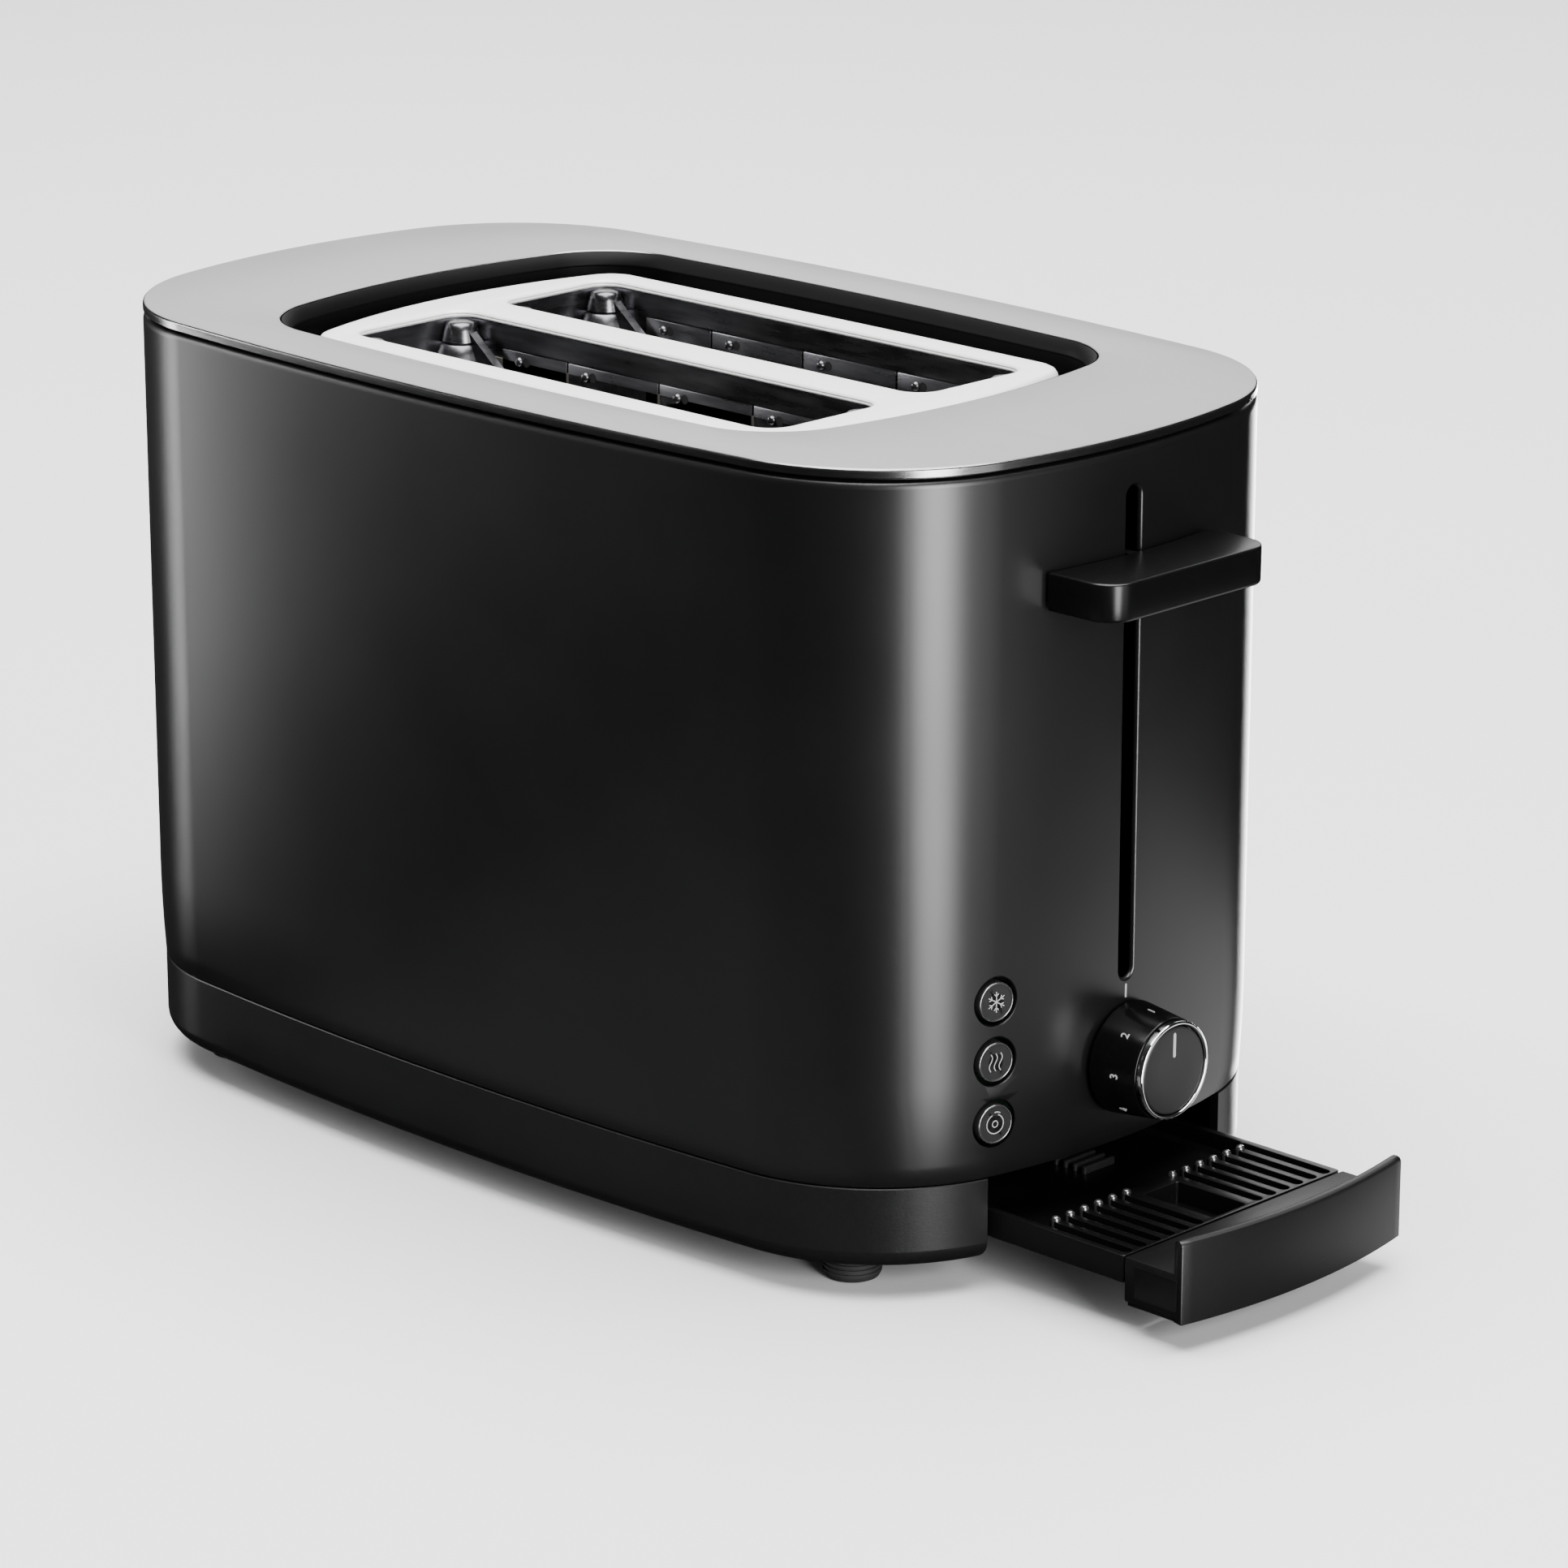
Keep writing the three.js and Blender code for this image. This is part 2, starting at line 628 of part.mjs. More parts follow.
function magnetCoil() {
  const z0 = bracket.lowZ + bracket.sheet + gap + 3;
  const x = magnet.halfDepth + gap;
  const y = magnet.halfWidth + gap;
  const wall = magnet.coilWall;
  const outer = block(rodX - x - wall, rodX + x + wall, -y - wall, y + wall, z0, z0 + magnet.coilHeight);
  const inner = block(rodX - x, rodX + x, -y, y, z0 - 1, z0 + magnet.coilHeight + 1);
  return piece("magnet_coil", outer.subtract(inner), copper);
}

function leverHandle() {
  const z0 = leverZ - handle.thickness / 2;
  const front = body.halfLength + handle.reach;
  const { halfWidth, corner } = handle;
  const shape = roundedRectangle(0, front, -halfWidth, halfWidth, corner);
  const blank = prism(shape, z0, z0 + handle.thickness);
  const bodyBulge = prism(bowedOutline(body, -handle.clearance), z0 - 1, z0 + handle.thickness + 1);
  return piece("lever_handle", blank.subtract(bodyBulge), glossBlack);
}

function leverStem() {
  const half = stem.thickness / 2;
  const rise = stem.height / 2;
  const x0 = carriageX + carriage.depth + gap;
  const x1 = body.halfLength + handle.clearance - gap;
  return piece("lever_stem", block(x0, x1, -half, half, leverZ - rise, leverZ + rise), zincSteel);
}

// Hub that runs on both rods, with a cross plate that carries the two bread racks.
function leverCarriage() {
  const { halfWidth, depth, above, below } = carriage;
  const top = leverZ + above;
  const plateHalf = slotY + 5;
  const plateBack = carriageX - carriage.plate;
  const hub = block(carriageX, carriageX + depth, -halfWidth, halfWidth, leverZ - below, top);
  let made = hub.add(block(plateBack, carriageX + 0.2, -plateHalf, plateHalf, rackZ, top));
  for (const side of [-1, 1]) {
    const bore = bar(rodX, side * rod.spread, rod.radius + rod.runningClearance, rackZ - 5, top + 5);
    made = made.subtract(bore);
  }
  return piece("lever_carriage", made, zincSteel);
}

function armaturePlate() {
  const top = leverZ - carriage.below - gap;
  const x = magnet.halfDepth + 2;
  const y = magnet.halfWidth + 4;
  return piece("armature_plate", block(rodX - x, rodX + x, -y, y, top - magnet.armature, top), zincSteel);
}

// Upright strip that runs the length of the chamber, with short cross bars under the bread.
function breadRack(name, side) {
  const half = rack.thickness / 2;
  const reach = slot.halfLength - 6;
  const x1 = carriageX - carriage.plate - gap;
  let made = block(-chassisX - 3, x1, -half, half, rackZ, rackZ + rack.height);
  for (let i = 0; i < rack.bars; i++) {
    const x = -reach + (2 * reach * i) / (rack.bars - 1);
    made = made.add(
      block(x - rack.bar / 2, x + rack.bar / 2, -rackHalfWidth, rackHalfWidth, rackTop - rack.bar, rackTop),
    );
  }
  const mesh = piece(name, made, zincSteel);
  mesh.position.y = side * slotY;
  return mesh;
}

// ---------------------------------------------------------------- controls

// L-shaped board behind the control face, clear of the lever's stem.
function circuitBoard() {
  const buttonEdge = button.y - 3 * keySwitch.halfWidth;
  const tabEdge = button.y + 4 * keySwitch.halfWidth;
  const points = [
    [buttonEdge, circuit.bottom],
    [circuit.sideY, circuit.bottom],
    [circuit.sideY, circuit.top],
    [tabEdge, circuit.top],
    [tabEdge, circuit.tabTop],
    [buttonEdge, circuit.tabTop],
  ].map(([y, z]) => new THREE.Vector2(y, z));
  const made = prismAlongX(new THREE.Shape(points), circuitX - circuit.thickness, circuitX);
  return piece("circuit_board", made, boardGreen);
}

function browningPot() {
  const { halfWidth, depth } = potSize;
  const x = circuitX + gap;
  const made = block(x, x + depth, -halfWidth, halfWidth, knob.z - halfWidth, knob.z + halfWidth);
  return piece("browning_potentiometer", made, zincSteel);
}

// Key switch on the board, where the button's line meets it.
function buttonSwitch([name, z]) {
  const at = new THREE.Vector3().setFromMatrixPosition(skinFrame(button.y, z));
  const outwards = new THREE.Vector3(0, 0, 1).transformDirection(skinFrame(button.y, z));
  const top = circuitX + gap + keySwitch.depth;
  const y = at.y - (outwards.y * (at.x - top)) / outwards.x;
  const half = keySwitch.halfWidth;
  const made = block(circuitX + gap, top, y - half, y + half, z - half, z + half);
  return piece("switch_" + name, made, blackPlastic);
}

// Round cap with a narrower stem that stops short of its key switch.
function buttonCap([name, z]) {
  const matrix = skinFrame(button.y, z);
  const at = new THREE.Vector3().setFromMatrixPosition(matrix);
  const outwards = new THREE.Vector3(0, 0, 1).transformDirection(matrix);
  const stemEnd = -(at.x - circuitX - gap - keySwitch.depth) / outwards.x + button.travel + 2 * gap;
  const { radius, proud, cap, stemRadius } = button;
  const profile = [
    [0, stemEnd],
    [stemRadius, stemEnd],
    [stemRadius, proud - cap],
    [radius, proud - cap],
    [radius, proud - 0.4],
    [radius - 0.4, proud],
    [0, proud],
  ];
  const mesh = piece("button_" + name, turned(profile), glossBlack);
  mesh.applyMatrix4(matrix);
  return mesh;
}

function knobGroup() {
  const start = 0.6; // clear of the shell
  const end = start + knob.length;
  const bodyProfile = [
    [0, start + knob.boreDepth],
    [knob.boreRadius, start + knob.boreDepth],
    [knob.boreRadius, start],
    [knob.baseRadius - 0.5, start],
    [knob.baseRadius, start + 0.6],
    [knob.tipRadius, end],
    [0, end],
  ];
  const ringBottom = end + gap;
  const ringTop = ringBottom + knobRing.length;
  const inner = knobRing.radius - knobRing.wall;
  const ringProfile = [
    [inner, ringBottom],
    [knobRing.radius, ringBottom],
    [knobRing.radius, ringTop - 0.4],
    [knobRing.radius - 0.4, ringTop],
    [inner + 0.2, ringTop],
    [inner, ringTop - 0.2],
    [inner, ringBottom],
  ];
  const faceRadius = inner - gap;
  const faceProfile = [
    [0, ringBottom],
    [faceRadius, ringBottom],
    [faceRadius, ringTop - 0.3],
    [0, ringTop - 0.3],
  ];
  const shaftFrom = -(body.halfLength - circuitX - gap - potSize.depth - gap);
  const shaftProfile = [
    [0, shaftFrom],
    [shaftRadius, shaftFrom],
    [shaftRadius, start + knob.boreDepth - gap],
    [0, start + knob.boreDepth - gap],
  ];
  const group = new THREE.Group();
  group.add(
    piece("knob_body", turned(bodyProfile, 32), glossBlack),
    piece("knob_ring", turned(ringProfile, 32), chrome),
    piece("knob_face", turned(faceProfile, 32), blackPlastic),
    piece("knob_shaft", turned(shaftProfile, 16), zincSteel),
  );
  group.applyMatrix4(skinFrame(0, knob.z));
  return group;
}

// ---------------------------------------------------------------- crumb drawer

// Front block with a finger lip, bowed as the body's end is.
function drawerFront() {
  const { frontInset, halfWidth, bottom, top, lip } = drawer;
  const blank = prism(bowedOutline(body, frontInset), bottom, top);
  const reach = block(drawerBack, body.halfLength + 1, -halfWidth, halfWidth, 0, seamZ);
  const behindLip = prism(bowedOutline(body, frontInset + lip), tray.deck, seamZ);
  return piece("drawer_front", blank.intersect(reach).subtract(behindLip), blackPlastic);
}

// Shallow pan, ribbed where it meets the front block.
function crumbTray() {
  const x0 = -chassisX;
  const x1 = drawerBack - gap;
  const floor = tray.bottom + tray.floor;
  const ribEnd = drawerBack - ribs.edge;
  const ribStart = ribEnd - ribs.length;
  const above = tray.deck + 1;
  let made = block(x0, x1, -trayHalfWidth, trayHalfWidth, tray.bottom, tray.deck);
  const inside = trayHalfWidth - tray.wall;
  made = made.subtract(block(x0 + tray.wall, ribStart - tray.wall, -inside, inside, floor, above));
  const { middleHalfWidth, groove } = ribs;
  made = made.subtract(block(ribStart + 3, ribEnd, -middleHalfWidth, middleHalfWidth, floor, above));
  for (let i = 0; i < ribs.perSide; i++) {
    for (const side of [-1, 1]) {
      const y = side * (ribs.firstY + ribs.pitch * i);
      made = made.subtract(block(ribStart, ribEnd, y - groove / 2, y + groove / 2, floor, above));
    }
  }
  return piece("crumb_tray", made, blackPlastic);
}

// ---------------------------------------------------------------- assembly

const housing = new THREE.Group();
housing.add(outerShell(), rearPanel(), topPlate(), slotWell(), slotFrame(), baseHousing(), cordGland());
for (const corner of corners) housing.add(rubberFoot(corner), baseScrew(corner));
housing.add(chassisPlate("chassis_front_plate", 1), chassisPlate("chassis_rear_plate", -1));
housing.add(rodBracket("rod_bracket_lower", bracket.lowZ));
housing.add(rodBracket("rod_bracket_upper", bracketTopZ - bracket.sheet));
housing.add(magnetCore(), magnetCoil(), returnSpring(), circuitBoard(), browningPot());
housing.add(...buttons.map(buttonSwitch));
for (const [place, side] of [
  ["left", 1],
  ["right", -1],
]) {
  const outerY = side * (slotY + boardOffset + board.thickness / 2);
  const innerY = side * (slotY - boardOffset - board.thickness / 2);
  housing.add(
    slotLiner("slot_liner_" + place, side),
    reflectorPlate("reflector_" + place, side),
    heaterBoard("heater_board_outer_" + place, outerY),
    heaterBoard("heater_board_inner_" + place, innerY),
    guideRod("guide_rod_" + place, side),
  );
}

const lever = new THREE.Group();
lever.add(leverHandle(), leverStem(), leverCarriage(), armaturePlate());
lever.add(breadRack("bread_rack_left", 1), breadRack("bread_rack_right", -1));

const guides = new THREE.Group();
for (const [place, side] of [
  ["left", 1],
  ["right", -1],
]) {
  guides.add(breadGuide("bread_guide_outer_" + place, side * (slotY + guideOffset)));
  guides.add(breadGuide("bread_guide_inner_" + place, side * (slotY - guideOffset)));
}

const controls = new THREE.Group();
controls.add(knobGroup(), ...buttons.map(buttonCap));

const crumbDrawer = new THREE.Group();
crumbDrawer.add(drawerFront(), crumbTray());
crumbDrawer.position.x = drawerPulledOut;

const toaster = new THREE.Group();
toaster.add(housing, lever, guides, controls, crumbDrawer);
const boxFront = drawerFace + drawerPulledOut;
const boxBack = -body.halfLength - backPanel.proud;
toaster.position.x = -(boxFront + boxBack) / 2;

export default toaster;
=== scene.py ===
import math

import bmesh
import bpy
from mathutils import Matrix, Vector


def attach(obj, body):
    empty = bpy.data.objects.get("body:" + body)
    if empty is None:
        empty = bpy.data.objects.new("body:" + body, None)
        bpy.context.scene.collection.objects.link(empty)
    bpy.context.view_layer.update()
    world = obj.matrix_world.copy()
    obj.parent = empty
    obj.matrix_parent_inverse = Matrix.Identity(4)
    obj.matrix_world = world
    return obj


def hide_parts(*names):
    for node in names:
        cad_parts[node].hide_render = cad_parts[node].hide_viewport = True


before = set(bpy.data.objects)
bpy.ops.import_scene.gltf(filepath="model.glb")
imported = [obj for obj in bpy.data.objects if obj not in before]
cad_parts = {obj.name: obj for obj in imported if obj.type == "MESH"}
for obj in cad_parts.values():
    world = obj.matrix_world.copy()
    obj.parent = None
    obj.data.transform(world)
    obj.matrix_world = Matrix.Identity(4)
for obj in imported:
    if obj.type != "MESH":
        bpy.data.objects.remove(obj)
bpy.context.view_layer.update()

# ------------------------------------------------------------------ camera and light
# The toaster stands on a pale table in a soft studio: tall strips give the upright bands of light on
# the rounded corners, and a broad panel behind lights the brushed top.

AIM = Vector((0.0112, -0.0052, 0.0933))
CAMERA_TURN = math.radians(44.51)
CAMERA_RISE = math.radians(17.03)
CAMERA_DISTANCE = 1.4377

camera_data = bpy.data.cameras.new("camera")
camera_data.lens = 136.6
camera_data.sensor_width = 36
camera = bpy.data.objects.new("camera", camera_data)
bpy.context.scene.collection.objects.link(camera)
back = Vector((
    math.sin(CAMERA_TURN) * math.cos(CAMERA_RISE),
    -math.cos(CAMERA_TURN) * math.cos(CAMERA_RISE),
    math.sin(CAMERA_RISE),
))
camera.location = AIM + back * CAMERA_DISTANCE
camera.rotation_euler = back.to_track_quat("Z", "Y").to_euler()
bpy.context.scene.camera = camera


def studio_light(name, turn, rise, distance, width, tall, watts, aim=AIM):
    """Rectangular light that faces the toaster from a compass turn and a rise, in degrees."""
    a, e = math.radians(turn), math.radians(rise)
    away = Vector((math.cos(a) * math.cos(e), math.sin(a) * math.cos(e), math.sin(e)))
    data = bpy.data.lights.new(name, "AREA")
    data.shape = "RECTANGLE"
    data.size = width
    data.size_y = tall
    data.energy = watts
    lamp = bpy.data.objects.new(name, data)
    bpy.context.scene.collection.objects.link(lamp)
    lamp.location = aim + away * distance
    lamp.rotation_euler = away.to_track_quat("Z", "Y").to_euler()
    return lamp


# The right strip and the two low cards lie under the table top. Reflections pass through the table, so
# those three show only as shine on the black pieces.
BELOW_TABLE = Vector((0.0112, -0.0052, -0.31))
studio_light("corner_strip", -18, 5, 1.3, 0.40, 1.2, 38)
studio_light("corner_fill", 6, 4, 1.3, 0.50, 1.2, 2.6)
studio_light("left_strip", -157, 6, 1.5, 0.14, 1.2, 12.5)
studio_light("right_strip", 116, 0, 1.5, 0.45, 0.58, 26, BELOW_TABLE)
studio_light("back_panel_light", 135, 27, 2.2, 2.2, 1.2, 21)
studio_light("overhead", 0, 89, 2.4, 2.6, 2.6, 260)
studio_light("front_low_card", 0, -90, 0.02, 0.24, 0.24, 0.25, Vector((0.23, 0.20, 0)))
studio_light("side_low_card", 0, -90, 0.02, 0.34, 0.30, 0.07, Vector((-0.02, -0.28, 0)))

world = bpy.data.worlds.new("studio")
world.use_nodes = True
world.node_tree.nodes["Background"].inputs["Color"].default_value = (1, 1, 1, 1)
world.node_tree.nodes["Background"].inputs["Strength"].default_value = 0.03
bpy.context.scene.world = world


def surface(name, dark, light, rough, metal=0.0, grain=(900, 900, 900), bump=0.05,
            rough_spread=0.04, specular=0.5, cloud=25.0):
    """Finish with a fine grain: the grain moves roughness and height, slow clouds move the colour."""
    material = bpy.data.materials.new(name)
    material.use_nodes = True
    nodes, links = material.node_tree.nodes, material.node_tree.links
    shader = nodes["Principled BSDF"]
    shader.inputs["Metallic"].default_value = metal
    shader.inputs["Specular IOR Level"].default_value = specular
    place = nodes.new("ShaderNodeTexCoord")
    stretch = nodes.new("ShaderNodeMapping")
    stretch.inputs["Scale"].default_value = grain
    links.new(place.outputs["Object"], stretch.inputs["Vector"])
    fine = nodes.new("ShaderNodeTexNoise")
    fine.inputs["Scale"].default_value = 1.0
    fine.inputs["Detail"].default_value = 3.0
    links.new(stretch.outputs["Vector"], fine.inputs["Vector"])
    clouds = nodes.new("ShaderNodeTexNoise")
    clouds.inputs["Scale"].default_value = cloud
    clouds.inputs["Detail"].default_value = 4.0
    links.new(place.outputs["Object"], clouds.inputs["Vector"])
    both = nodes.new("ShaderNodeMath")
    both.operation = "MULTIPLY_ADD"
    both.inputs[1].default_value = 0.5
    links.new(fine.outputs["Fac"], both.inputs[0])
    half = nodes.new("ShaderNodeMath")
    half.operation = "MULTIPLY"
    half.inputs[1].default_value = 0.5
    links.new(clouds.outputs["Fac"], half.inputs[0])
    links.new(half.outputs["Value"], both.inputs[2])
    shade = nodes.new("ShaderNodeValToRGB")
    shade.color_ramp.elements[0].position = 0.32
    shade.color_ramp.elements[0].color = (*dark, 1)
    shade.color_ramp.elements[1].position = 0.68
    shade.color_ramp.elements[1].color = (*light, 1)
    links.new(both.outputs["Value"], shade.inputs["Fac"])
    links.new(shade.outputs["Color"], shader.inputs["Base Color"])
    gloss = nodes.new("ShaderNodeMapRange")
    gloss.inputs["From Min"].default_value = 0.3
    gloss.inputs["From Max"].default_value = 0.7
    gloss.inputs["To Min"].default_value = rough - rough_spread
    gloss.inputs["To Max"].default_value = rough + rough_spread
    links.new(both.outputs["Value"], gloss.inputs["Value"])
    links.new(gloss.outputs["Result"], shader.inputs["Roughness"])
    height = nodes.new("ShaderNodeBump")
    height.inputs["Strength"].default_value = bump
    height.inputs["Distance"].default_value = 0.0001
    links.new(fine.outputs["Fac"], height.inputs["Height"])
    links.new(height.outputs["Normal"], shader.inputs["Normal"])
    return material


table_paint = surface("table_paint", (0.80, 0.80, 0.80), (0.84, 0.84, 0.84), 0.75, bump=0.02, cloud=2)
bm = bmesh.new()
bmesh.ops.create_grid(bm, x_segments=1, y_segments=1, size=6)
table_mesh = bpy.data.meshes.new("table_top")
bm.to_mesh(table_mesh)
bm.free()
table_mesh.materials.append(table_paint)
table_top = bpy.data.objects.new("table_top", table_mesh)
bpy.context.scene.collection.objects.link(table_top)
table_top.visible_glossy = False

# ------------------------------------------------------------------ outer shell
# One sheet of steel bent round all four sides, with a satin black coat. Its top edge is folded in,
# its foot draws in a little to the base, and the lever's slot and the button holes have drawn edges.

# Outlines of the body's pieces: half length, half width, radius of the long sides, of the short
# sides and of the corners, in millimetres from the middle of the body.
BODY = (145.0, 81.6, 1086.0, 180.0, 49.2)
BODY_MIDDLE = -27.85
SHELL_FOOT = 28.1
SHELL_TOP = 194.4
KNOB_HEIGHT = 49
LEVER_SLOT = (2.3, 68, 185.3)
BUTTON_SIDE = -39.7
BUTTON_SPOTS = {"defrost": 70.8, "reheat": 56.3, "bagel": 41.3}


LONG_STEPS, SHORT_STEPS, CORNER_STEPS = 10, 12, 26


def outline_arcs(outline, inset=0.0):
    """The eight arcs of a bowed outline drawn in by the inset: centre, radius, start, sweep, steps."""
    half_length, half_width, long_radius, short_radius, corner_radius = outline
    long_middle = Vector((0, half_width - long_radius))
    short_middle = Vector((half_length - short_radius, 0))
    between = short_middle - long_middle
    long_reach = long_radius - corner_radius
    short_reach = short_radius - corner_radius
    along = (long_reach**2 - short_reach**2 + between.length**2) / (2 * between.length)
    across = math.sqrt(long_reach**2 - along**2)
    unit = between.normalized()
    corner = long_middle + unit * along + Vector((unit.y, -unit.x)) * across
    rise = math.atan2(corner.y - long_middle.y, corner.x - long_middle.x)
    dip = math.atan2(corner.y - short_middle.y, corner.x - short_middle.x)
    half_turn = []
    half_turn.append((short_middle, short_radius - inset, -dip, 2 * dip, SHORT_STEPS))
    half_turn.append((corner, corner_radius - inset, dip, rise - dip, CORNER_STEPS))
    half_turn.append((long_middle, long_radius - inset, rise, math.pi - 2 * rise, LONG_STEPS))
    left = Vector((-corner.x, corner.y))
    half_turn.append((left, corner_radius - inset, math.pi - rise, rise - dip, CORNER_STEPS))
    other = [(-middle, radius, start + math.pi, sweep, steps)
             for middle, radius, start, sweep, steps in half_turn]
    return half_turn + other


def box_arcs(x0, x1, y0, y1, radius, steps=6):
    """The four corner arcs of a rectangle with round corners."""
    quarter = math.pi / 2
    spots = ((x1 - radius, y1 - radius), (x0 + radius, y1 - radius),
             (x0 + radius, y0 + radius), (x1 - radius, y0 + radius))
    return [(Vector(spot), radius, i * quarter, quarter, steps) for i, spot in enumerate(spots)]


def loop(bm, arcs, z):
    """One closed loop of edges at a height: every arc is spun from a point, and the ends are joined."""
    old_edges, old_verts = set(bm.edges), set(bm.verts)
    ends = []
    for middle, radius, start, sweep, steps in arcs:
        first = bm.verts.new((middle.x + radius * math.cos(start), middle.y + radius * math.sin(start), z))
        spun = bmesh.ops.spin(
            bm, geom=[first], cent=(middle.x, middle.y, z), axis=(0, 0, 1), angle=sweep, steps=steps,
            use_merge=False, use_duplicate=False,
        )
        last = [item for item in spun["geom_last"] if isinstance(item, bmesh.types.BMVert)][0]
        ends.append((first, last))
    for i, (first, _) in enumerate(ends):
        before = ends[i - 1][1]
        if (before.co - first.co).length > 1e-3:
            bm.edges.new((before, first))
    bmesh.ops.remove_doubles(bm, verts=[v for v in bm.verts if v not in old_verts], dist=1e-3)
    return [edge for edge in bm.edges if edge not in old_edges]


def loft(bm, loops, closed=False):
    """Skin over loops in order; the last joins the first, or both ends get a lid."""
    for one, other in zip(loops, loops[1:]):
        bmesh.ops.bridge_loops(bm, edges=one + other)
    if closed:
        bmesh.ops.bridge_loops(bm, edges=loops[-1] + loops[0])
    else:
        for end in (loops[0], loops[-1]):
            bmesh.ops.edgeloop_fill(bm, edges=end)
    bmesh.ops.recalc_face_normals(bm, faces=bm.faces)
    return bm


def outline_body(outline, rings, closed=False):
    """Solid whose every ring is the outline at an inset and a height."""
    bm = bmesh.new()
    loops = [loop(bm, outline_arcs(outline, inset), z) for inset, z in rings]
    return loft(bm, loops, closed)


def box_body(x0, x1, y0, y1, radius, rings, steps=6):
    """Solid whose every ring is a round-cornered rectangle at an inset and a height."""
    bm = bmesh.new()
    loops = []
    for inset, z in rings:
        arcs = box_arcs(x0 + inset, x1 - inset, y0 + inset, y1 - inset, max(radius - inset, 0.05), steps)
        loops.append(loop(bm, arcs, z))
    return loft(bm, loops)


def turned(profile, steps=48, closed=False):
    """Solid of revolution about Z from radius and height pairs."""
    bm = bmesh.new()
    loops = [loop(bm, [(Vector((0, 0)), radius, 0, 2 * math.pi, steps)], z) for radius, z in profile]
    return loft(bm, loops, closed)


def moved(bm, matrix):
    """The same shape, put in its place."""
    bmesh.ops.transform(bm, matrix=matrix, verts=bm.verts)
    return bm


def skin_place(y, z):
    """Matrix that puts a piece made on Z onto the body's +X end, its Z pointing outwards."""
    short_middle = BODY[0] - BODY[3]
    turn = math.asin(y / BODY[3])
    spot = Matrix.Translation((short_middle + BODY[3] * math.cos(turn), y, z))
    return spot @ Matrix.Rotation(turn, 4, "Z") @ Matrix.Rotation(math.pi / 2, 4, "Y")


def joined(parts):
    """One bmesh from several."""
    whole = bmesh.new()
    for part in parts:
        mesh = bpy.data.meshes.new("part")
        part.to_mesh(mesh)
        part.free()
        whole.from_mesh(mesh)
        bpy.data.meshes.remove(mesh)
    return whole


def carved(bm, cutters, operation="DIFFERENCE"):
    """The body with the cutters taken out of it, or only what it shares with them."""
    objects = []
    for shape in (bm, joined(cutters)):
        mesh = bpy.data.meshes.new("shape")
        shape.to_mesh(mesh)
        shape.free()
        shape_object = bpy.data.objects.new("shape", mesh)
        bpy.context.scene.collection.objects.link(shape_object)
        objects.append(shape_object)
    blank, tool = objects
    cut = blank.modifiers.new("cut", "BOOLEAN")
    cut.object = tool
    cut.operation = operation
    cut.solver = "EXACT"
    depsgraph = bpy.context.evaluated_depsgraph_get()
    result = bmesh.new()
    result.from_object(blank, depsgraph)
    for shape_object in objects:
        mesh = shape_object.data
        bpy.data.objects.remove(shape_object)
        bpy.data.meshes.remove(mesh)
    bmesh.ops.remove_doubles(result, verts=result.verts, dist=1e-4)
    return result


def outward(x, y, outline):
    """Direction of the outline's normal at a point of its skin."""
    for middle, _, start, sweep, _ in outline_arcs(outline):
        across = Vector((x, y)) - middle
        angle = (math.atan2(across.y, across.x) - start) % (2 * math.pi)
        if angle <= sweep + 1e-6:
            return across.normalized()
    return Vector((x, y)).normalized()


def set_true_normals(mesh, outline, middle=0.0):
    """Gives every corner on the skin the outline's own normal, so cuts leave no mark in the shine."""
    lookup = {}
    kept = [normal.vector.copy() for normal in mesh.corner_normals]
    for face in mesh.polygons:
        upright = abs(face.normal.z) < 1e-3
        for index in face.loop_indices:
            vector = Vector(face.normal) if upright else kept[index]
            flat = Vector((vector.x, vector.y))
            if flat.length < 0.3:
                continue
            key = mesh.loops[index].vertex_index
            if key not in lookup:
                co = mesh.vertices[key].co
                lookup[key] = outward(co.x * 1000 - BODY_MIDDLE - middle, co.y * 1000, outline)
            true = lookup[key] * flat.length
            if lookup[key].dot(flat.normalized()) > 0.96:
                kept[index] = Vector((true.x, true.y, vector.z))
    mesh.normals_split_custom_set(kept)


def finish_piece(bm, name, body, materials, nodes=(), sharp=38, outline=None, shift=0.0):
    """Millimetres from the body's middle become metres in the toaster's frame, and the piece is fixed."""
    to_frame = Matrix.Scale(0.001, 4) @ Matrix.Translation((BODY_MIDDLE + shift, 0, 0))
    bmesh.ops.transform(bm, matrix=to_frame, verts=bm.verts)
    mesh = bpy.data.meshes.new(name)
    bm.to_mesh(mesh)
    bm.free()
    mesh.shade_smooth()
    mesh.set_sharp_from_angle(angle=math.radians(sharp))
    for material in materials:
        mesh.materials.append(material)
    if outline:
        set_true_normals(mesh, outline, shift)
    made = bpy.data.objects.new(name, mesh)
    bpy.context.scene.collection.objects.link(made)
    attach(made, body)
    if nodes:
        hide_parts(*nodes)


def stood_up(distance=0.0):
    """Matrix that stands a piece drawn flat upright across X, at a distance along it."""
    return Matrix(((0, 0, 1, distance), (1, 0, 0, 0), (0, 1, 0, 0), (0, 0, 0, 1)))


def upright_slot(bm, half_width, bottom, top, depth):
    """Loop of a slot with round ends, drawn across the +X skin at a depth below it."""
    arcs = box_arcs(-half_width, half_width, bottom, top, half_width - 0.01, steps=8)
    edges = loop(bm, arcs, 0)
    verts = {v for edge in edges for v in edge.verts}
    bmesh.ops.transform(bm, matrix=stood_up(BODY[0] - depth), verts=list(verts))
    return edges


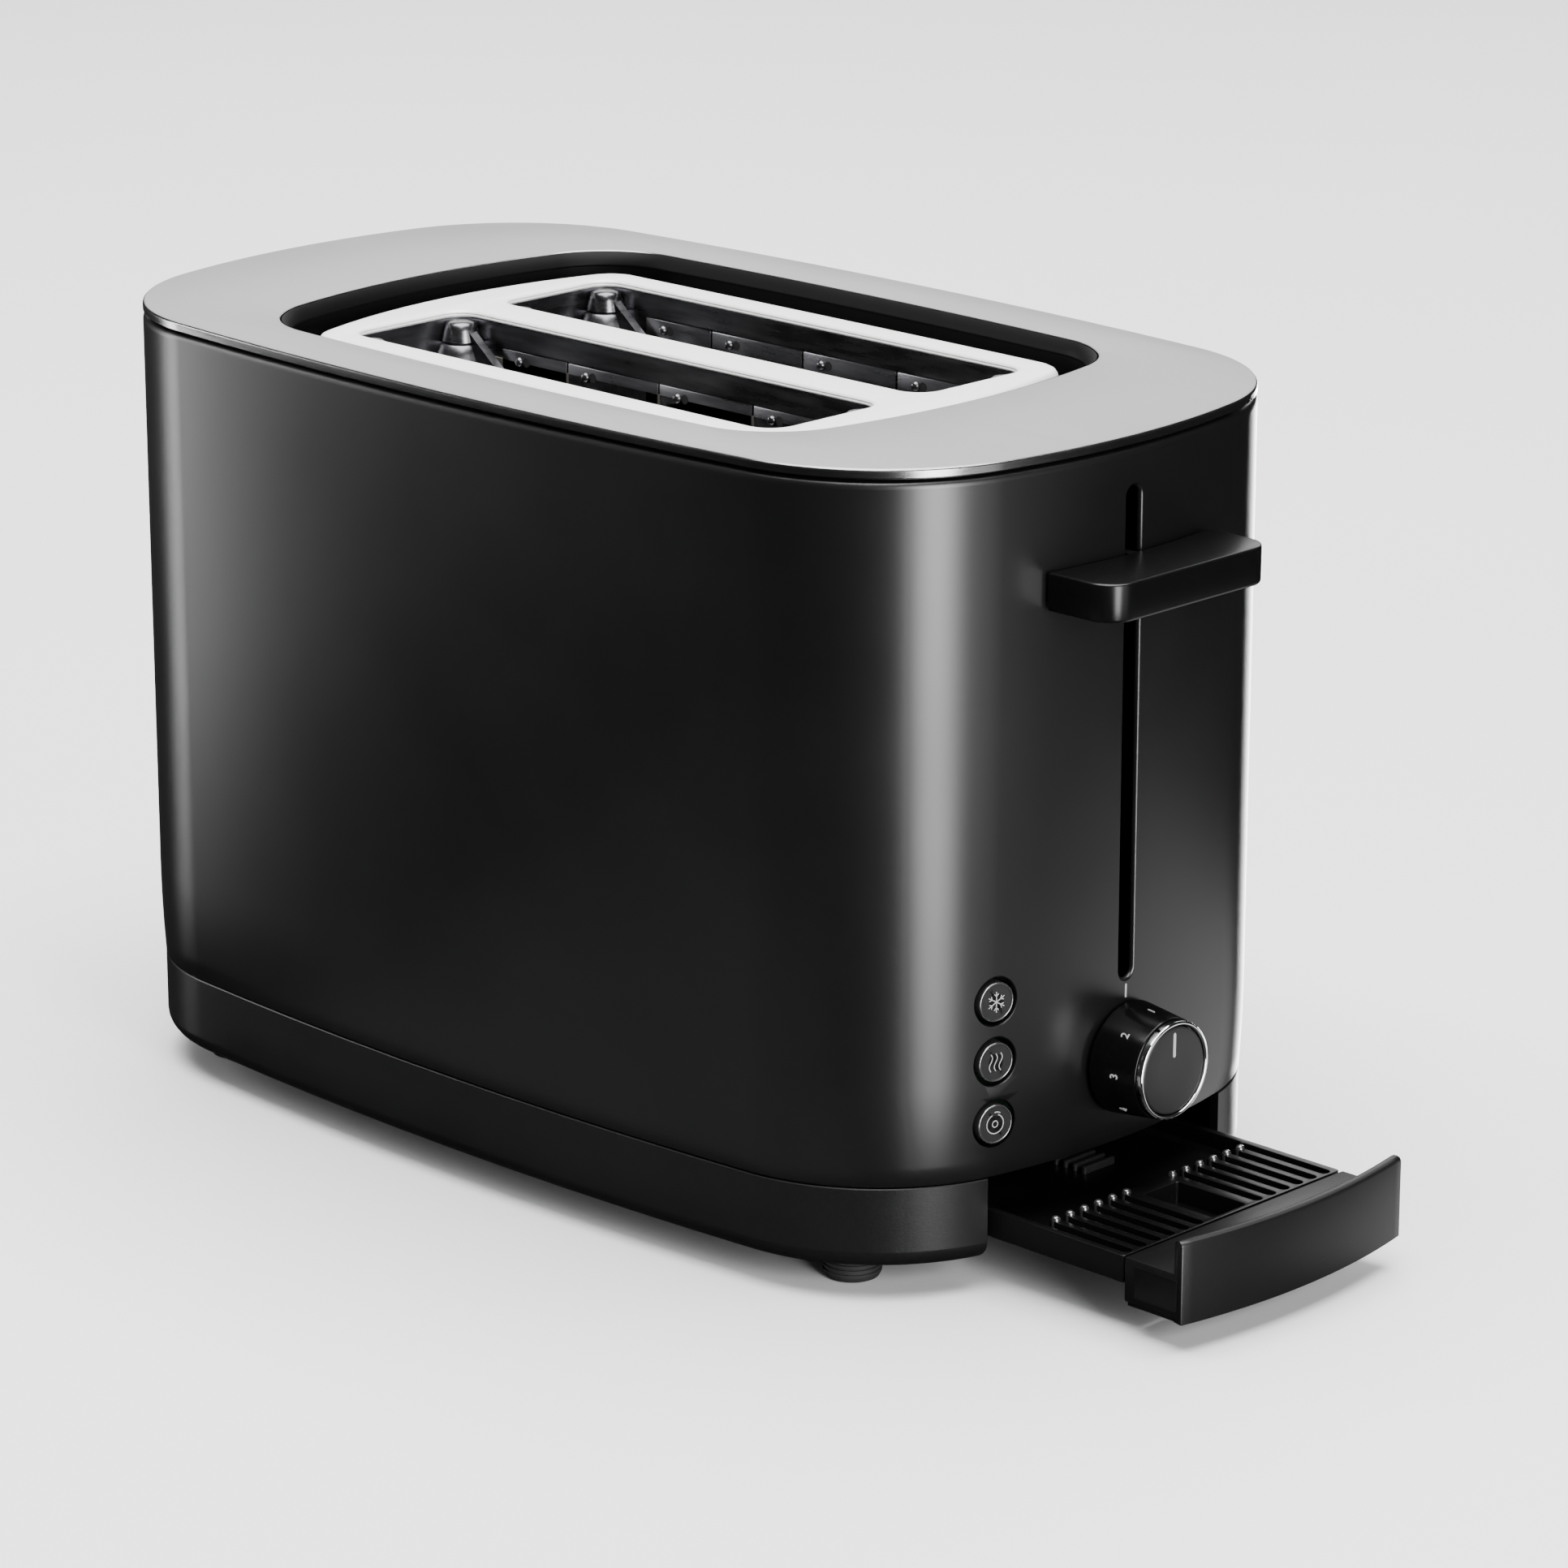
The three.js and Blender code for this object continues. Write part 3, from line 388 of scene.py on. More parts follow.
def slot_cutter():
    """Lever's slot with drawn edges that roll in from the skin."""
    half_width, bottom, top = LEVER_SLOT
    bm = bmesh.new()
    loops = []
    for widen, depth in ((0.95, -1.0), (0.85, 0.0), (0.5, 0.14), (0.22, 0.4), (0.06, 0.8), (0, 1.3), (0, 5)):
        loops.append(upright_slot(bm, half_width + widen, bottom - widen, top + widen, depth))
    return loft(bm, loops)


def button_cutter(z):
    """Button's hole with a drawn edge, at a height."""
    profile = ((6.3, 1.0), (6.25, 0.0), (6.0, -0.12), (5.82, -0.35), (5.75, -0.7), (5.75, -5))
    return moved(turned(profile), skin_place(BUTTON_SIDE, z))


black_coat = surface("satin_black_coat", (0.0015, 0.0015, 0.0016), (0.0028, 0.0028, 0.003), 0.34,
                     grain=(2200, 2200, 2200), bump=0.05, rough_spread=0.02, specular=0.62)

foot_curve = [(0.8 * ((52 - z) / 24) ** 2, z) for z in (28.5, 33, 38, 43, 48)]
shell_outside = [(1.15, SHELL_FOOT), (0.9, 28.2)] + foot_curve + [
    (0, 52), (0, 110), (0, 192.6), (0.14, 193.3), (0.5, 193.9), (1.05, 194.28), (1.6, SHELL_TOP),
]
shell_inside = [
    (2.3, SHELL_TOP), (2.4, 196.3), (3.2, 196.3), (3.2, 191.5), (1.1, 190.5), (1.1, 52), (1.85, 28.5),
    (1.7, SHELL_FOOT),
]
panel_hole = moved(
    box_body(-44.3, 44.3, 35.7, 184.3, 6.3, [(0, -160), (0, -100)]),
    stood_up(),
)
shell_cutters = [slot_cutter(), moved(turned(((4, -6), (4, 2))), skin_place(0, KNOB_HEIGHT)), panel_hole]
shell_cutters += [button_cutter(z) for z in BUTTON_SPOTS.values()]
shell = carved(outline_body(BODY, shell_outside + shell_inside, closed=True), shell_cutters)
finish_piece(shell, "shell", "housing", [black_coat], ["outer_shell"], outline=BODY)

# ------------------------------------------------------------------ top plate
# Brushed steel pressing that lies on the shell. Its rim is turned down and polished, and its middle
# is open for the sunk slots.

RECESS = (96.1, 63.7, 1255.0, 201.0, 23.6)
TOP = 197.3

brushed_steel = surface("brushed_steel", (0.33, 0.33, 0.33), (0.39, 0.39, 0.39), 0.42, metal=1.0,
                        grain=(25, 1800, 1800), bump=0.10, rough_spread=0.05, cloud=8)
polished_rim = surface("polished_rim", (0.20, 0.20, 0.205), (0.26, 0.26, 0.265), 0.24, metal=1.0,
                       grain=(300, 300, 2500), bump=0.03, rough_spread=0.02)

bm = bmesh.new()
rim_rings = [
    (1.2, 195.15), (0.15, 195.1), (0, 195.25), (0, 196.55), (0.12, 196.92), (0.4, 197.18), (0.8, TOP),
]
rim_loops = [loop(bm, outline_arcs(BODY, inset), z) for inset, z in rim_rings]
hole_rings = [(-0.55, TOP), (-0.2, 197.22), (0, 197.0), (0, 196.42)]
hole_loops = [loop(bm, outline_arcs(RECESS, inset), z) for inset, z in hole_rings]
under = [loop(bm, outline_arcs(BODY, 1.6), 196.42)]
loft(bm, rim_loops + hole_loops + under, closed=True)
for face in bm.faces:
    middle = face.calc_center_median()
    if middle.z < 197.25 and abs(face.normal.z) < 0.95:
        face.material_index = 1
finish_piece(bm, "top_sheet", "housing", [brushed_steel, polished_rim], ["top_plate"],
             outline=BODY)

# ------------------------------------------------------------------ slot well
# Moulded black plastic ring under the plate, coloured darker than the plastic itself as painted shade
# for the gap. Its wall slopes in, then drops to a ledge that carries the slot frame, with an open gap
# all round the frame.

FRAME = (86.5, 52.9, 6500.0, 153.8, 9.9)

# Near black: darker than the plastic's own tone, as painted shade for the unlit gap round the frame.
black_plastic_and_gap_shade = surface("black_plastic_and_gap_shade", (0.0016, 0.0016, 0.0017), (0.003, 0.003, 0.0032), 0.5,
                           grain=(2600, 2600, 2600), bump=0.18, specular=0.1)

bm = bmesh.new()
well_rings = [
    (0.35, 190), (0.35, 196.9), (0.5, 197.02), (0.75, 196.85), (2.7, 194.3), (2.75, 194.0), (2.6, 193.7),
    (1.1, 193.3), (1.1, 188.3),
]
well_loops = [loop(bm, outline_arcs(RECESS, inset), z) for inset, z in well_rings]
ledge_loops = [loop(bm, outline_arcs(FRAME, 3.0), z) for z in (188.3, 186.3)]
flange_loops = [loop(bm, outline_arcs(RECESS, 1.0), 186.3), loop(bm, outline_arcs(RECESS, 0.35), 187.0)]
loft(bm, well_loops + ledge_loops + flange_loops, closed=True)
finish_piece(bm, "well_ring", "housing", [black_plastic_and_gap_shade], ["slot_well"], outline=RECESS)

# ------------------------------------------------------------------ slot frame
# Light satin frame round the two bread slots. It is pressed from one sheet, so its bars are domed
# and both slots have a soft rolled edge.

SLOT_HALF_LENGTH = 72.5
SLOT_INNER = 6.2
SLOT_OUTER = 43.5
SLOT_CORNER = 6
LIP_RINGS = [
    (-1.0, 180), (-1.0, 191.8), (-0.5, 191.9), (-0.1, 192.0), (0, 192.15), (0, 192.4), (-0.12, 192.55),
    (-0.5, 192.62), (-0.5, 192.78), (-0.1, 192.88), (-0.2, 193.1), (-0.5, 193.38), (-1.0, 193.56),
    (-1.6, 193.63), (-1.6, 200),
]

satin_steel = surface("satin_steel", (0.84, 0.84, 0.83), (0.92, 0.92, 0.91), 0.36, metal=0.15,
                      grain=(700, 700, 700), bump=0.06)

frame_rings = [
    (0.5, 188.6), (0, 189.2), (0, 191.2), (0.25, 192.2), (0.8, 193.0), (1.7, 193.45), (2.9, 193.6),
]
slot_cutters = []
for side in (-1, 1):
    y0, y1 = sorted((side * SLOT_INNER, side * SLOT_OUTER))
    slot_cutters.append(box_body(-SLOT_HALF_LENGTH, SLOT_HALF_LENGTH, y0, y1, SLOT_CORNER, LIP_RINGS, 8))
bm = carved(outline_body(FRAME, frame_rings), slot_cutters)
finish_piece(bm, "slot_surround", "housing", [satin_steel], ["slot_frame"], sharp=50)

# ------------------------------------------------------------------ slot liners
# Thin steel sleeves under the frame that lead the bread down, coloured a dark grey. Their corners are
# pressed into tall cones, and riveted panels with open seams line the long walls.

liner_steel = surface("dark_grey_liner_steel", (0.085, 0.085, 0.09), (0.20, 0.20, 0.21), 0.30, metal=1.0,
                     grain=(60, 60, 500), bump=0.10, rough_spread=0.08, cloud=40)
# The pierced holes are not cut: black discs stand in for them, their black painted shade for the dark inside
# each hole.
hole_shade_black = surface("hole_shade_black", (0.002, 0.002, 0.002), (0.003, 0.003, 0.003), 0.8, bump=0.02)

SLEEVE_GAP = 0.15
SLEEVE_WALL = 0.5
SLEEVE_BOTTOM, SLEEVE_TOP = 174.2, 191.7
PRESSING_FOOT = 176
HORN = (
    (11, PRESSING_FOOT), (9.2, 178), (7.4, 181), (6.0, 184), (5.2, 185.9), (4.75, 186.2), (4.75, 186.5),
    (4.9, 186.8), (4.2, 189.6), (3.7, 190.9), (3.1, 191.4), (1.6, 191.65),
)
HORN_END = 68.9
HORN_INSET = 3.6
WEB_REACH = 21
PANEL_SPANS = ((-57, -34), (-33.3, -2), (-1.3, 30), (30.7, 57))
RIVET = ((0.01, 1.0), (0.6, 0.9), (1.1, 0.5), (1.3, 0), (1.3, -0.2))
for place, side in (("left", 1), ("right", -1)):
    y0, y1 = sorted((side * SLOT_INNER, side * SLOT_OUTER))
    gap, skin = SLEEVE_GAP, SLEEVE_GAP + SLEEVE_WALL
    blank = box_body(-SLOT_HALF_LENGTH - skin, SLOT_HALF_LENGTH + skin, y0 - skin, y1 + skin, SLOT_CORNER,
                     [(0, SLEEVE_BOTTOM), (0, SLEEVE_TOP)])
    bm = carved(blank, [box_body(-SLOT_HALF_LENGTH - gap, SLOT_HALF_LENGTH + gap, y0 - gap, y1 + gap,
                                 SLOT_CORNER, [(0, 170), (0, 195)])])
    pressings = []
    holes = []
    clip = box_body(-73.1, 73.1, y0 - 0.6, y1 + 0.6, 6, [(0, 170), (0, 195)], 6)
    for y, inwards in ((y0, 1), (y1, -1)):
        for end in (-1, 1):
            spot = Vector((end * HORN_END, y + inwards * HORN_INSET, 0))
            horn = carved(moved(turned(HORN, 40), Matrix.Translation(spot)), [clip.copy()], "INTERSECT")
            web = box_body(spot.x - 1, spot.x + WEB_REACH, spot.y - 1.2, spot.y + 1.2, 0.9,
                           [(0, PRESSING_FOOT), (0, 190.8)], 2)
            bmesh.ops.bisect_plane(web, geom=list(web.verts) + list(web.edges) + list(web.faces),
                                   plane_co=(spot.x + WEB_REACH, spot.y, PRESSING_FOOT),
                                   plane_no=(14.6, 0, 18.5),
                                   clear_outer=True)
            bmesh.ops.holes_fill(web, edges=web.edges)
            if end > 0:
                moved(web, Matrix.Translation((2 * spot.x, 0, 0)) @ Matrix.Scale(-1, 4, (1, 0, 0)))
                bmesh.ops.reverse_faces(web, faces=web.faces)
            pressings += [horn, web]
        for x0, x1 in PANEL_SPANS:
            back_y, face_y = y + inwards * 0.35, y + inwards * 0.8
            panel = box_body(x0, x1, min(back_y, face_y), max(back_y, face_y), 0.1,
                             [(0, 175), (0, 185.7), (0.1, 185.9)], 2)
            head = turned(RIVET, steps=14)
            hole = turned(((1.2, 0), (1.2, 0.04)), steps=14)
            tip = Matrix.Rotation(-inwards * math.pi / 2, 4, "X")
            pressings += [panel, moved(head, Matrix.Translation((x0 + 6, face_y, 183.4)) @ tip)]
            holes.append(moved(hole, Matrix.Translation((x0 + 8.6, face_y, 183.6)) @ tip))
    clip.free()
    whole = joined([bm] + pressings)
    # The discs' black is painted shade, for the dark inside each pierced hole.
    dark = joined(holes)  # the pierced holes, as thin dark discs on the panels
    for face in dark.faces:
        face.material_index = 1
    finish_piece(joined([whole, dark]), "sleeve_" + place, "housing",
                 [liner_steel, hole_shade_black], ["slot_liner_" + place])

# ------------------------------------------------------------------ base
# Moulded tub with a rounded lower edge. The drawer runs in through the mouth in its +X end, and four
# screws reach up through its floor.

moulded_black = surface("moulded_black", (0.0025, 0.0025, 0.0027), (0.0045, 0.0045, 0.0048), 0.38,
                        grain=(2400, 2400, 2400), bump=0.16, specular=0.32)

edge_rings = [(0.8 + 4.5 * (1 - math.sin(a)), 7.8 + 4.5 * (1 - math.cos(a)))
              for a in (math.radians(d) for d in (0, 15, 30, 45, 60, 75, 90))]
tub_rings = [(9, 7.8)] + edge_rings + [
    (0.8, 20), (0.8, 27.55), (1.0, 27.8), (3.1, 27.8), (3.3, 27.6), (3.3, 10.3),
]
mouth = box_body(121.1, 160, -40.6, 40.6, 0.6, [(0, -2), (0, 30)])
SCREW_X, SCREW_Y = 92.1, 47.0
holes = [moved(turned(((3.5, 0), (3.5, 10.0))), Matrix.Translation((sx * SCREW_X, sy * SCREW_Y, 0)))
         for sx in (-1, 1) for sy in (-1, 1)]
gland_hole = moved(turned(((4.5, -6), (4.5, 3)), 32), Matrix.Translation((-144.2, 0, 17))
                   @ Matrix.Rotation(-math.pi / 2, 4, "Y"))
tub = carved(outline_body(BODY, tub_rings), [mouth, gland_hole] + holes)
TUB_FLOOR = 10.2
RAIL_BACK, RAIL_FRONT = -90, 120
BOSS = 4.5
rails = []
for side in (-1, 1):
    y0, y1 = sorted((side * 38.9, side * 41.4))
    rails.append(box_body(RAIL_BACK, RAIL_FRONT, y0, y1, 0.4, [(0, TUB_FLOOR), (0, 20.6), (0.4, 21)], 2))
    y0, y1 = sorted((side * 34.9, side * 39.4))
    rails.append(box_body(RAIL_BACK, RAIL_FRONT, y0, y1, 0.3, [(0, TUB_FLOOR), (0, 12.3)], 2))
    for end in (-1, 1):
        x, y = end * SCREW_X, side * SCREW_Y
        rails.append(box_body(x - BOSS, x + BOSS, y - BOSS, y + BOSS, 0.8, [(0, TUB_FLOOR), (0, 23.7)], 2))
finish_piece(joined([tub] + rails), "base_tub", "housing", [moulded_black],
             ["base_housing"], outline=BODY)

# ------------------------------------------------------------------ rear panel
# Moulded cover that closes the back of the shell. It stands half a millimetre proud of the steel and
# has round corners.

PANEL_RINGS = [(-0.5, 30), (-0.5, 190), (1.6, 190), (1.6, 30)]
panel_blank = moved(
    box_body(-44, 44, 36, 184, 6, [(0, -160), (0, -100)], 8),
    stood_up(),
)
bm = carved(outline_body(BODY, PANEL_RINGS, closed=True), [panel_blank], "INTERSECT")
finish_piece(bm, "back_cover", "housing", [moulded_black], ["rear_panel"], outline=BODY)

# ------------------------------------------------------------------ feet
# Rubber pads with fine ribs round them. Each has a plug that is pushed up into the base's floor.

soft_rubber = surface("soft_rubber", (0.010, 0.010, 0.010), (0.018, 0.018, 0.018), 0.72,
                      grain=(1500, 1500, 1500), bump=0.25)

FOOT_X, FOOT_Y = 109.7, 54.4
foot_corners = {"front_right": (1, -1), "front_left": (1, 1), "rear_right": (-1, -1), "rear_left": (-1, 1)}
for place, (sx, sy) in foot_corners.items():
    profile = [(5.3, 0.0), (6.3, 0.35), (6.75, 1.1)]
    for i in range(5):
        z = 1.6 + i * 1.15
        profile += [(6.98, z), (6.98, z + 0.6), (6.65, z + 0.75), (6.65, z + 1.0)]
    profile += [(6.98, 7.4), (2.5, 7.5), (2.5, 11.3)]
    foot = moved(turned(profile, 40), Matrix.Translation((sx * FOOT_X, sy * FOOT_Y, 0)))
    finish_piece(foot, "rubber_foot_" + place, "housing", [soft_rubber], ["foot_" + place])

# ------------------------------------------------------------------ lever
# The handle is a gloss black block with rounded front corners. Its back follows the shell, and the
# steel stem behind it runs through the upright slot.

handle_black = surface("handle_black", (0.0012, 0.0012, 0.0013), (0.0022, 0.0022, 0.0024), 0.29,
                       grain=(1400, 1400, 1400), bump=0.04, rough_spread=0.02, specular=0.28)
gloss_black = surface("gloss_black", (0.0012, 0.0012, 0.0013), (0.0022, 0.0022, 0.0024), 0.20,
                      grain=(900, 900, 900), bump=0.03, rough_spread=0.02, specular=0.16)

grip_rings = [
    (0.8, 161.2), (0.35, 161.3), (0.1, 161.55), (0, 161.95), (0, 169.45), (0.1, 169.85), (0.35, 170.1),
    (0.8, 170.2),
]
grip = box_body(100, 163.4, -27.8, 27.8, 7, grip_rings, 14)
behind = outline_body(BODY, [(-1.3, 150), (-1.3, 180)])
finish_piece(carved(grip, [behind]), "lever_grip", "lever", [handle_black], ["lever_handle"])

# ------------------------------------------------------------------ browning knob
# Gloss black cone on a steel shaft, with the browning numbers printed round its side, a polished
# ring and a dark disc with a pointer line on its face.

chrome = surface("polished_chrome", (0.78, 0.78, 0.79), (0.84, 0.84, 0.85), 0.07, metal=1.0,
                 grain=(500, 500, 500), bump=0.01, rough_spread=0.015)
dial_black = surface("dial_black", (0.008, 0.008, 0.0085), (0.013, 0.013, 0.0135), 0.45,
                     grain=(2000, 2000, 2000), bump=0.08, specular=0.35)
print_grey = surface("print_grey", (0.24, 0.24, 0.25), (0.32, 0.32, 0.33), 0.5, grain=(2500, 2500, 2500),
                     bump=0.1)

KNOB_PLACE = skin_place(0, KNOB_HEIGHT)
KNOB_STEPS = 96
cone = turned(((3.3, 8.6), (3.3, 0.6), (12.6, 0.6), (13.2, 0.75), (13.5, 1.2), (13.42, 2.2), (12.1, 13.0),
               (11.95, 13.35), (11.6, 13.6)), KNOB_STEPS)
finish_piece(moved(cone, KNOB_PLACE), "knob_cone", "knob", [gloss_black], ["knob_body"])

ring = turned(((10.75, 13.9), (11.8, 13.9), (11.8, 15.0), (11.7, 15.3), (11.45, 15.48), (11.2, 15.5),
               (10.95, 15.4), (10.8, 15.15)), KNOB_STEPS, closed=True)
finish_piece(moved(ring, KNOB_PLACE), "knob_bezel", "knob", [chrome], ["knob_ring"])

disc = turned(((10.4, 13.9), (10.4, 15.0), (10.2, 15.15), (9.9, 15.2), (5, 15.12), (2, 15.08),
               (0.5, 15.07)), KNOB_STEPS)
finish_piece(moved(disc, KNOB_PLACE), "knob_disc", "knob", [dial_black], ["knob_face"])

pointer = box_body(-0.45, 0.45, 3.2, 9.2, 0.44, [(0, 15.0), (0, 15.22)], 6)
finish_piece(moved(pointer, KNOB_PLACE @ Matrix.Rotation(math.pi / 2, 4, "Z")), "knob_pointer", "knob",
             [print_grey])


def as_bmesh(drawn, curve):
    """Turns a curve or text object into a bmesh and removes the object."""
    mesh = bpy.data.meshes.new_from_object(drawn.evaluated_get(bpy.context.evaluated_depsgraph_get()))
    result = bmesh.new()
    result.from_mesh(mesh)
    bpy.data.meshes.remove(mesh)
    bpy.data.objects.remove(drawn)
    bpy.data.curves.remove(curve)
    bmesh.ops.remove_doubles(result, verts=result.verts, dist=1e-4)
    bmesh.ops.recalc_face_normals(result, faces=result.faces)
    return result


def lettering(text, size):
    """Flat letters as a bmesh in millimetres, centred, with a little thickness."""
    curve = bpy.data.curves.new("lettering", "FONT")
    curve.body = text
    curve.size = size
    curve.extrude = 0.15
    curve.align_x = "CENTER"
    curve.align_y = "CENTER"
    curve.resolution_u = 3
    written = bpy.data.objects.new("lettering", curve)
    bpy.context.scene.collection.objects.link(written)
    return as_bmesh(written, curve)


# The numbers run against the clock from the top, every 45 degrees, their feet towards the face.
DIGIT_SIZE = 2.9
DIGIT_HEIGHT = 8.0
CONE_RADIUS = 12.8
CONE_SLOPE = 0.122
numbers = []
for i in range(6):
    letter = lettering(str(i + 1), DIGIT_SIZE)
    for vertex in letter.verts:
        x, y, z = vertex.co
        height = DIGIT_HEIGHT - y
        around = -x / CONE_RADIUS
        radius = 13.55 - CONE_SLOPE * (height - 1.2) + z + 0.02
        vertex.co = (radius * math.cos(around), radius * math.sin(around), height)
    turn = Matrix.Rotation(math.pi + i * math.pi / 4, 4, "Z")
    numbers.append(moved(letter, turn))
finish_piece(moved(joined(numbers), KNOB_PLACE), "knob_numbers", "knob", [print_grey])

# ------------------------------------------------------------------ function buttons
# Three round caps sunk in the shell, each with a fine bright edge and a printed symbol: a snow
# crystal, three rising waves and a ring roll.

bright_edge = surface("bright_edge", (0.16, 0.16, 0.165), (0.22, 0.22, 0.225), 0.2, metal=0.9,
                      grain=(900, 900, 900), bump=0.02)


STROKE_WIDTH = 0.25
STROKE_LIFT = 0.36


def stroke(points):
    """Printed line through points, as a low round-ended ridge on a button's face."""
    curve = bpy.data.curves.new("stroke", "CURVE")
    curve.dimensions = "3D"
    curve.bevel_depth = STROKE_WIDTH / 2
    curve.bevel_resolution = 1
    curve.use_fill_caps = True
    line = curve.splines.new("POLY")
    if (Vector(points[0]) - Vector(points[-1])).length < 1e-6:
        points = points[:-1]
        line.use_cyclic_u = True
    line.points.add(len(points) - 1)
    for point, (x, y) in zip(line.points, points):
        point.co = (x, y, STROKE_LIFT, 1)
    drawn = bpy.data.objects.new("stroke", curve)
    bpy.context.scene.collection.objects.link(drawn)
    return as_bmesh(drawn, curve)


def ring_points(radius, start=0.0, sweep=360.0, steps=24, middle=(0, 0)):
    angles = [math.radians(start + sweep * i / steps) for i in range(steps + 1)]
    return [(middle[0] + radius * math.cos(a), middle[1] + radius * math.sin(a)) for a in angles]


def snow_crystal():
    lines = []
    for i in range(6):
        a = math.radians(60 * i)
        arm = Vector((math.cos(a), math.sin(a)))
        lines.append([(0, 0), tuple(arm * 2.5)])
        for side in (-1, 1):
            b = a + side * math.radians(45)
            tip = arm * 1.35 + Vector((math.cos(b), math.sin(b))) * 0.85
            lines.append([tuple(arm * 1.35), tuple(tip)])
    return [stroke(line) for line in lines]


def rising_waves():
    lines = []
    for shift in (-1.35, 0, 1.35):
        line = []
        for i in range(17):
            line.append((-2.1 + 4.2 * i / 16, shift + 0.42 * math.sin(2 * math.pi * i / 16)))
        lines.append(line)
    return [stroke(line) for line in lines]


def ring_roll():
    return [stroke(ring_points(2.3, 200, 320)), stroke(ring_points(2.3, 150, 40, 6, (-0.55, 0.2))),
            stroke(ring_points(0.75))]


symbols = {"defrost": snow_crystal, "reheat": rising_waves, "bagel": ring_roll}
for name, z in BUTTON_SPOTS.items():
    place = skin_place(BUTTON_SIDE, z)
    cap = turned(((2.0, -11), (2.0, -3.6), (4.7, -3.6), (4.7, 0.1), (4.66, 0.22), (4.56, 0.31), (4.42, 0.36),
                  (4.32, 0.34), (4.22, 0.26), (4.15, 0.18), (2, 0.18)), 64)
    for face in cap.faces:
        far = max(math.hypot(v.co.x, v.co.y) for v in face.verts)
        if far > 4.3 and face.calc_center_median().z > 0.12 and face.normal.z < 0.99:
            face.material_index = 1
    finish_piece(moved(cap, place), "cap_" + name, "button_" + name, [dial_black, bright_edge],
                 ["button_" + name])
    sign = joined([moved(line, Matrix.Scale(0.5, 4, (0, 0, 1))) for line in symbols[name]()])
    finish_piece(moved(sign, place), "symbol_" + name, "button_" + name, [print_grey])

# The line above the knob that the numbers are read against. It lies no further out than the skin.
mark = box_body(-0.3, 0.3, 63.2, 66.6, 0.28, [(0, -0.03), (0, 0.04)], 4)
mark = moved(mark, stood_up(BODY[0]))
for vertex in mark.verts:
    vertex.co.x = min(vertex.co.x, BODY[0])
finish_piece(mark, "index_mark", "housing", [print_grey])

# ------------------------------------------------------------------ crumb drawer
# A moulded front block with a bowed plate and finger lip, and a shallow ribbed tray behind it. The
# drawer stands pulled out at rest.

PULLED_OUT = 57.3
PLATE_FACE = 143.9
PLATE_HALF_WIDTH = 38.95
PLATE_RADIUS = 178.9

bm = bmesh.new()
section = [
    (0, 7.6), (-0.3, 7.3), (-3.0, 7.3), (-3.0, 26.3), (-2.6, 27.0), (-1.9, 27.35), (-1.1, 27.3),
    (-0.35, 26.9), (0, 26.1),
]
swing = math.asin(PLATE_HALF_WIDTH / PLATE_RADIUS)
spine = BODY[0] - BODY[3]
corners = [bm.verts.new((PLATE_FACE + x, 0, z)) for x, z in section]
profile = [bm.edges.new((a, b)) for a, b in zip(corners, corners[1:] + corners[:1])]
bmesh.ops.rotate(bm, cent=(spine, 0, 0), matrix=Matrix.Rotation(-swing, 3, "Z"), verts=bm.verts)
first_end = list(bm.edges)
spun = bmesh.ops.spin(bm, geom=first_end + list(bm.verts), cent=(spine, 0, 0), axis=(0, 0, 1),
                      angle=2 * swing, steps=24, use_merge=False, use_duplicate=False)
last_end = [item for item in spun["geom_last"] if isinstance(item, bmesh.types.BMEdge)]
ends = []
for edges in (first_end, last_end):
    ends += bmesh.ops.edgeloop_fill(bm, edges=edges)["faces"]
bmesh.ops.recalc_face_normals(bm, faces=bm.faces)
rims = {edge for face in ends for edge in face.edges}
bmesh.ops.bevel(bm, geom=list(rims), offset=0.45, offset_type="OFFSET", segments=2, profile=0.5, material=-1,
                affect="EDGES")
block_rings = [
    (1.2, 7.35), (0.9, 7.5), (0.9, 8.3), (0.5, 8.5), (0.3, 8.9), (0.3, 18.8), (0.42, 19.1), (0.7, 19.2),
]
block = box_body(122.1, 150, -38.9, 38.9, 0.6, block_rings, 3)
block = carved(block, [outline_body(BODY, [(2.4, 0), (2.4, 30)])], "INTERSECT")
panels = []
for y0, y1 in ((-38.8, -38.606), (38.606, 38.8)):
    panels.append(box_body(125.5, 138.0, y0, y1, 0.05, [(0.3, 10.2), (0, 10.5), (0, 17.6), (0.3, 17.9)], 2))
finish_piece(joined([bm, block] + panels), "drawer_block", "drawer", [moulded_black],
             ["drawer_front"], shift=PULLED_OUT)

RIB_START = 97.0
RIB_END = 121.0
RIB_PITCH = 4.9
RIDGE_PITCH = 3
deck = box_body(-86.5, 121.8, -38.4, 38.4, 1.0, [(0.3, 12.6), (0, 12.9), (0, 19.2)], 3)
grooves = []
for i in range(6):
    for side in (-1, 1):
        y = side * (10.5 + RIB_PITCH * i)
        grooves.append(box_body(RIB_START - 4, RIB_END, y - 1.4, y + 1.4, 1.39, [(0, 14.4), (0, 21)], 6))
middle_well = box_body(RIB_START + 2.5, RIB_END - 0.5, -6, 6, 0.8, [(0, 14.2), (0, 21)], 3)
pan = box_body(-84.5, RIB_START - 2, -36.4, 36.4, 3, [(1.0, 14.2), (0, 15.4), (0, 21)], 6)
tray = carved(deck, [pan])
tray = carved(tray, grooves + [middle_well])
lips = [edge for edge in tray.edges if len(edge.link_faces) == 2 and edge.calc_face_angle(0) > 1.2
        and min(v.co.z for v in edge.verts) > 19.15]
bmesh.ops.bevel(tray, geom=lips, offset=0.45, offset_type="OFFSET", segments=3, profile=0.5, material=-1,
                affect="EDGES", clamp_overlap=True)
tray_black = surface("tray_black", (0.0015, 0.0015, 0.0016), (0.003, 0.003, 0.0032), 0.32,
                     grain=(1200, 1200, 1200), bump=0.08, specular=0.26)
pins = []
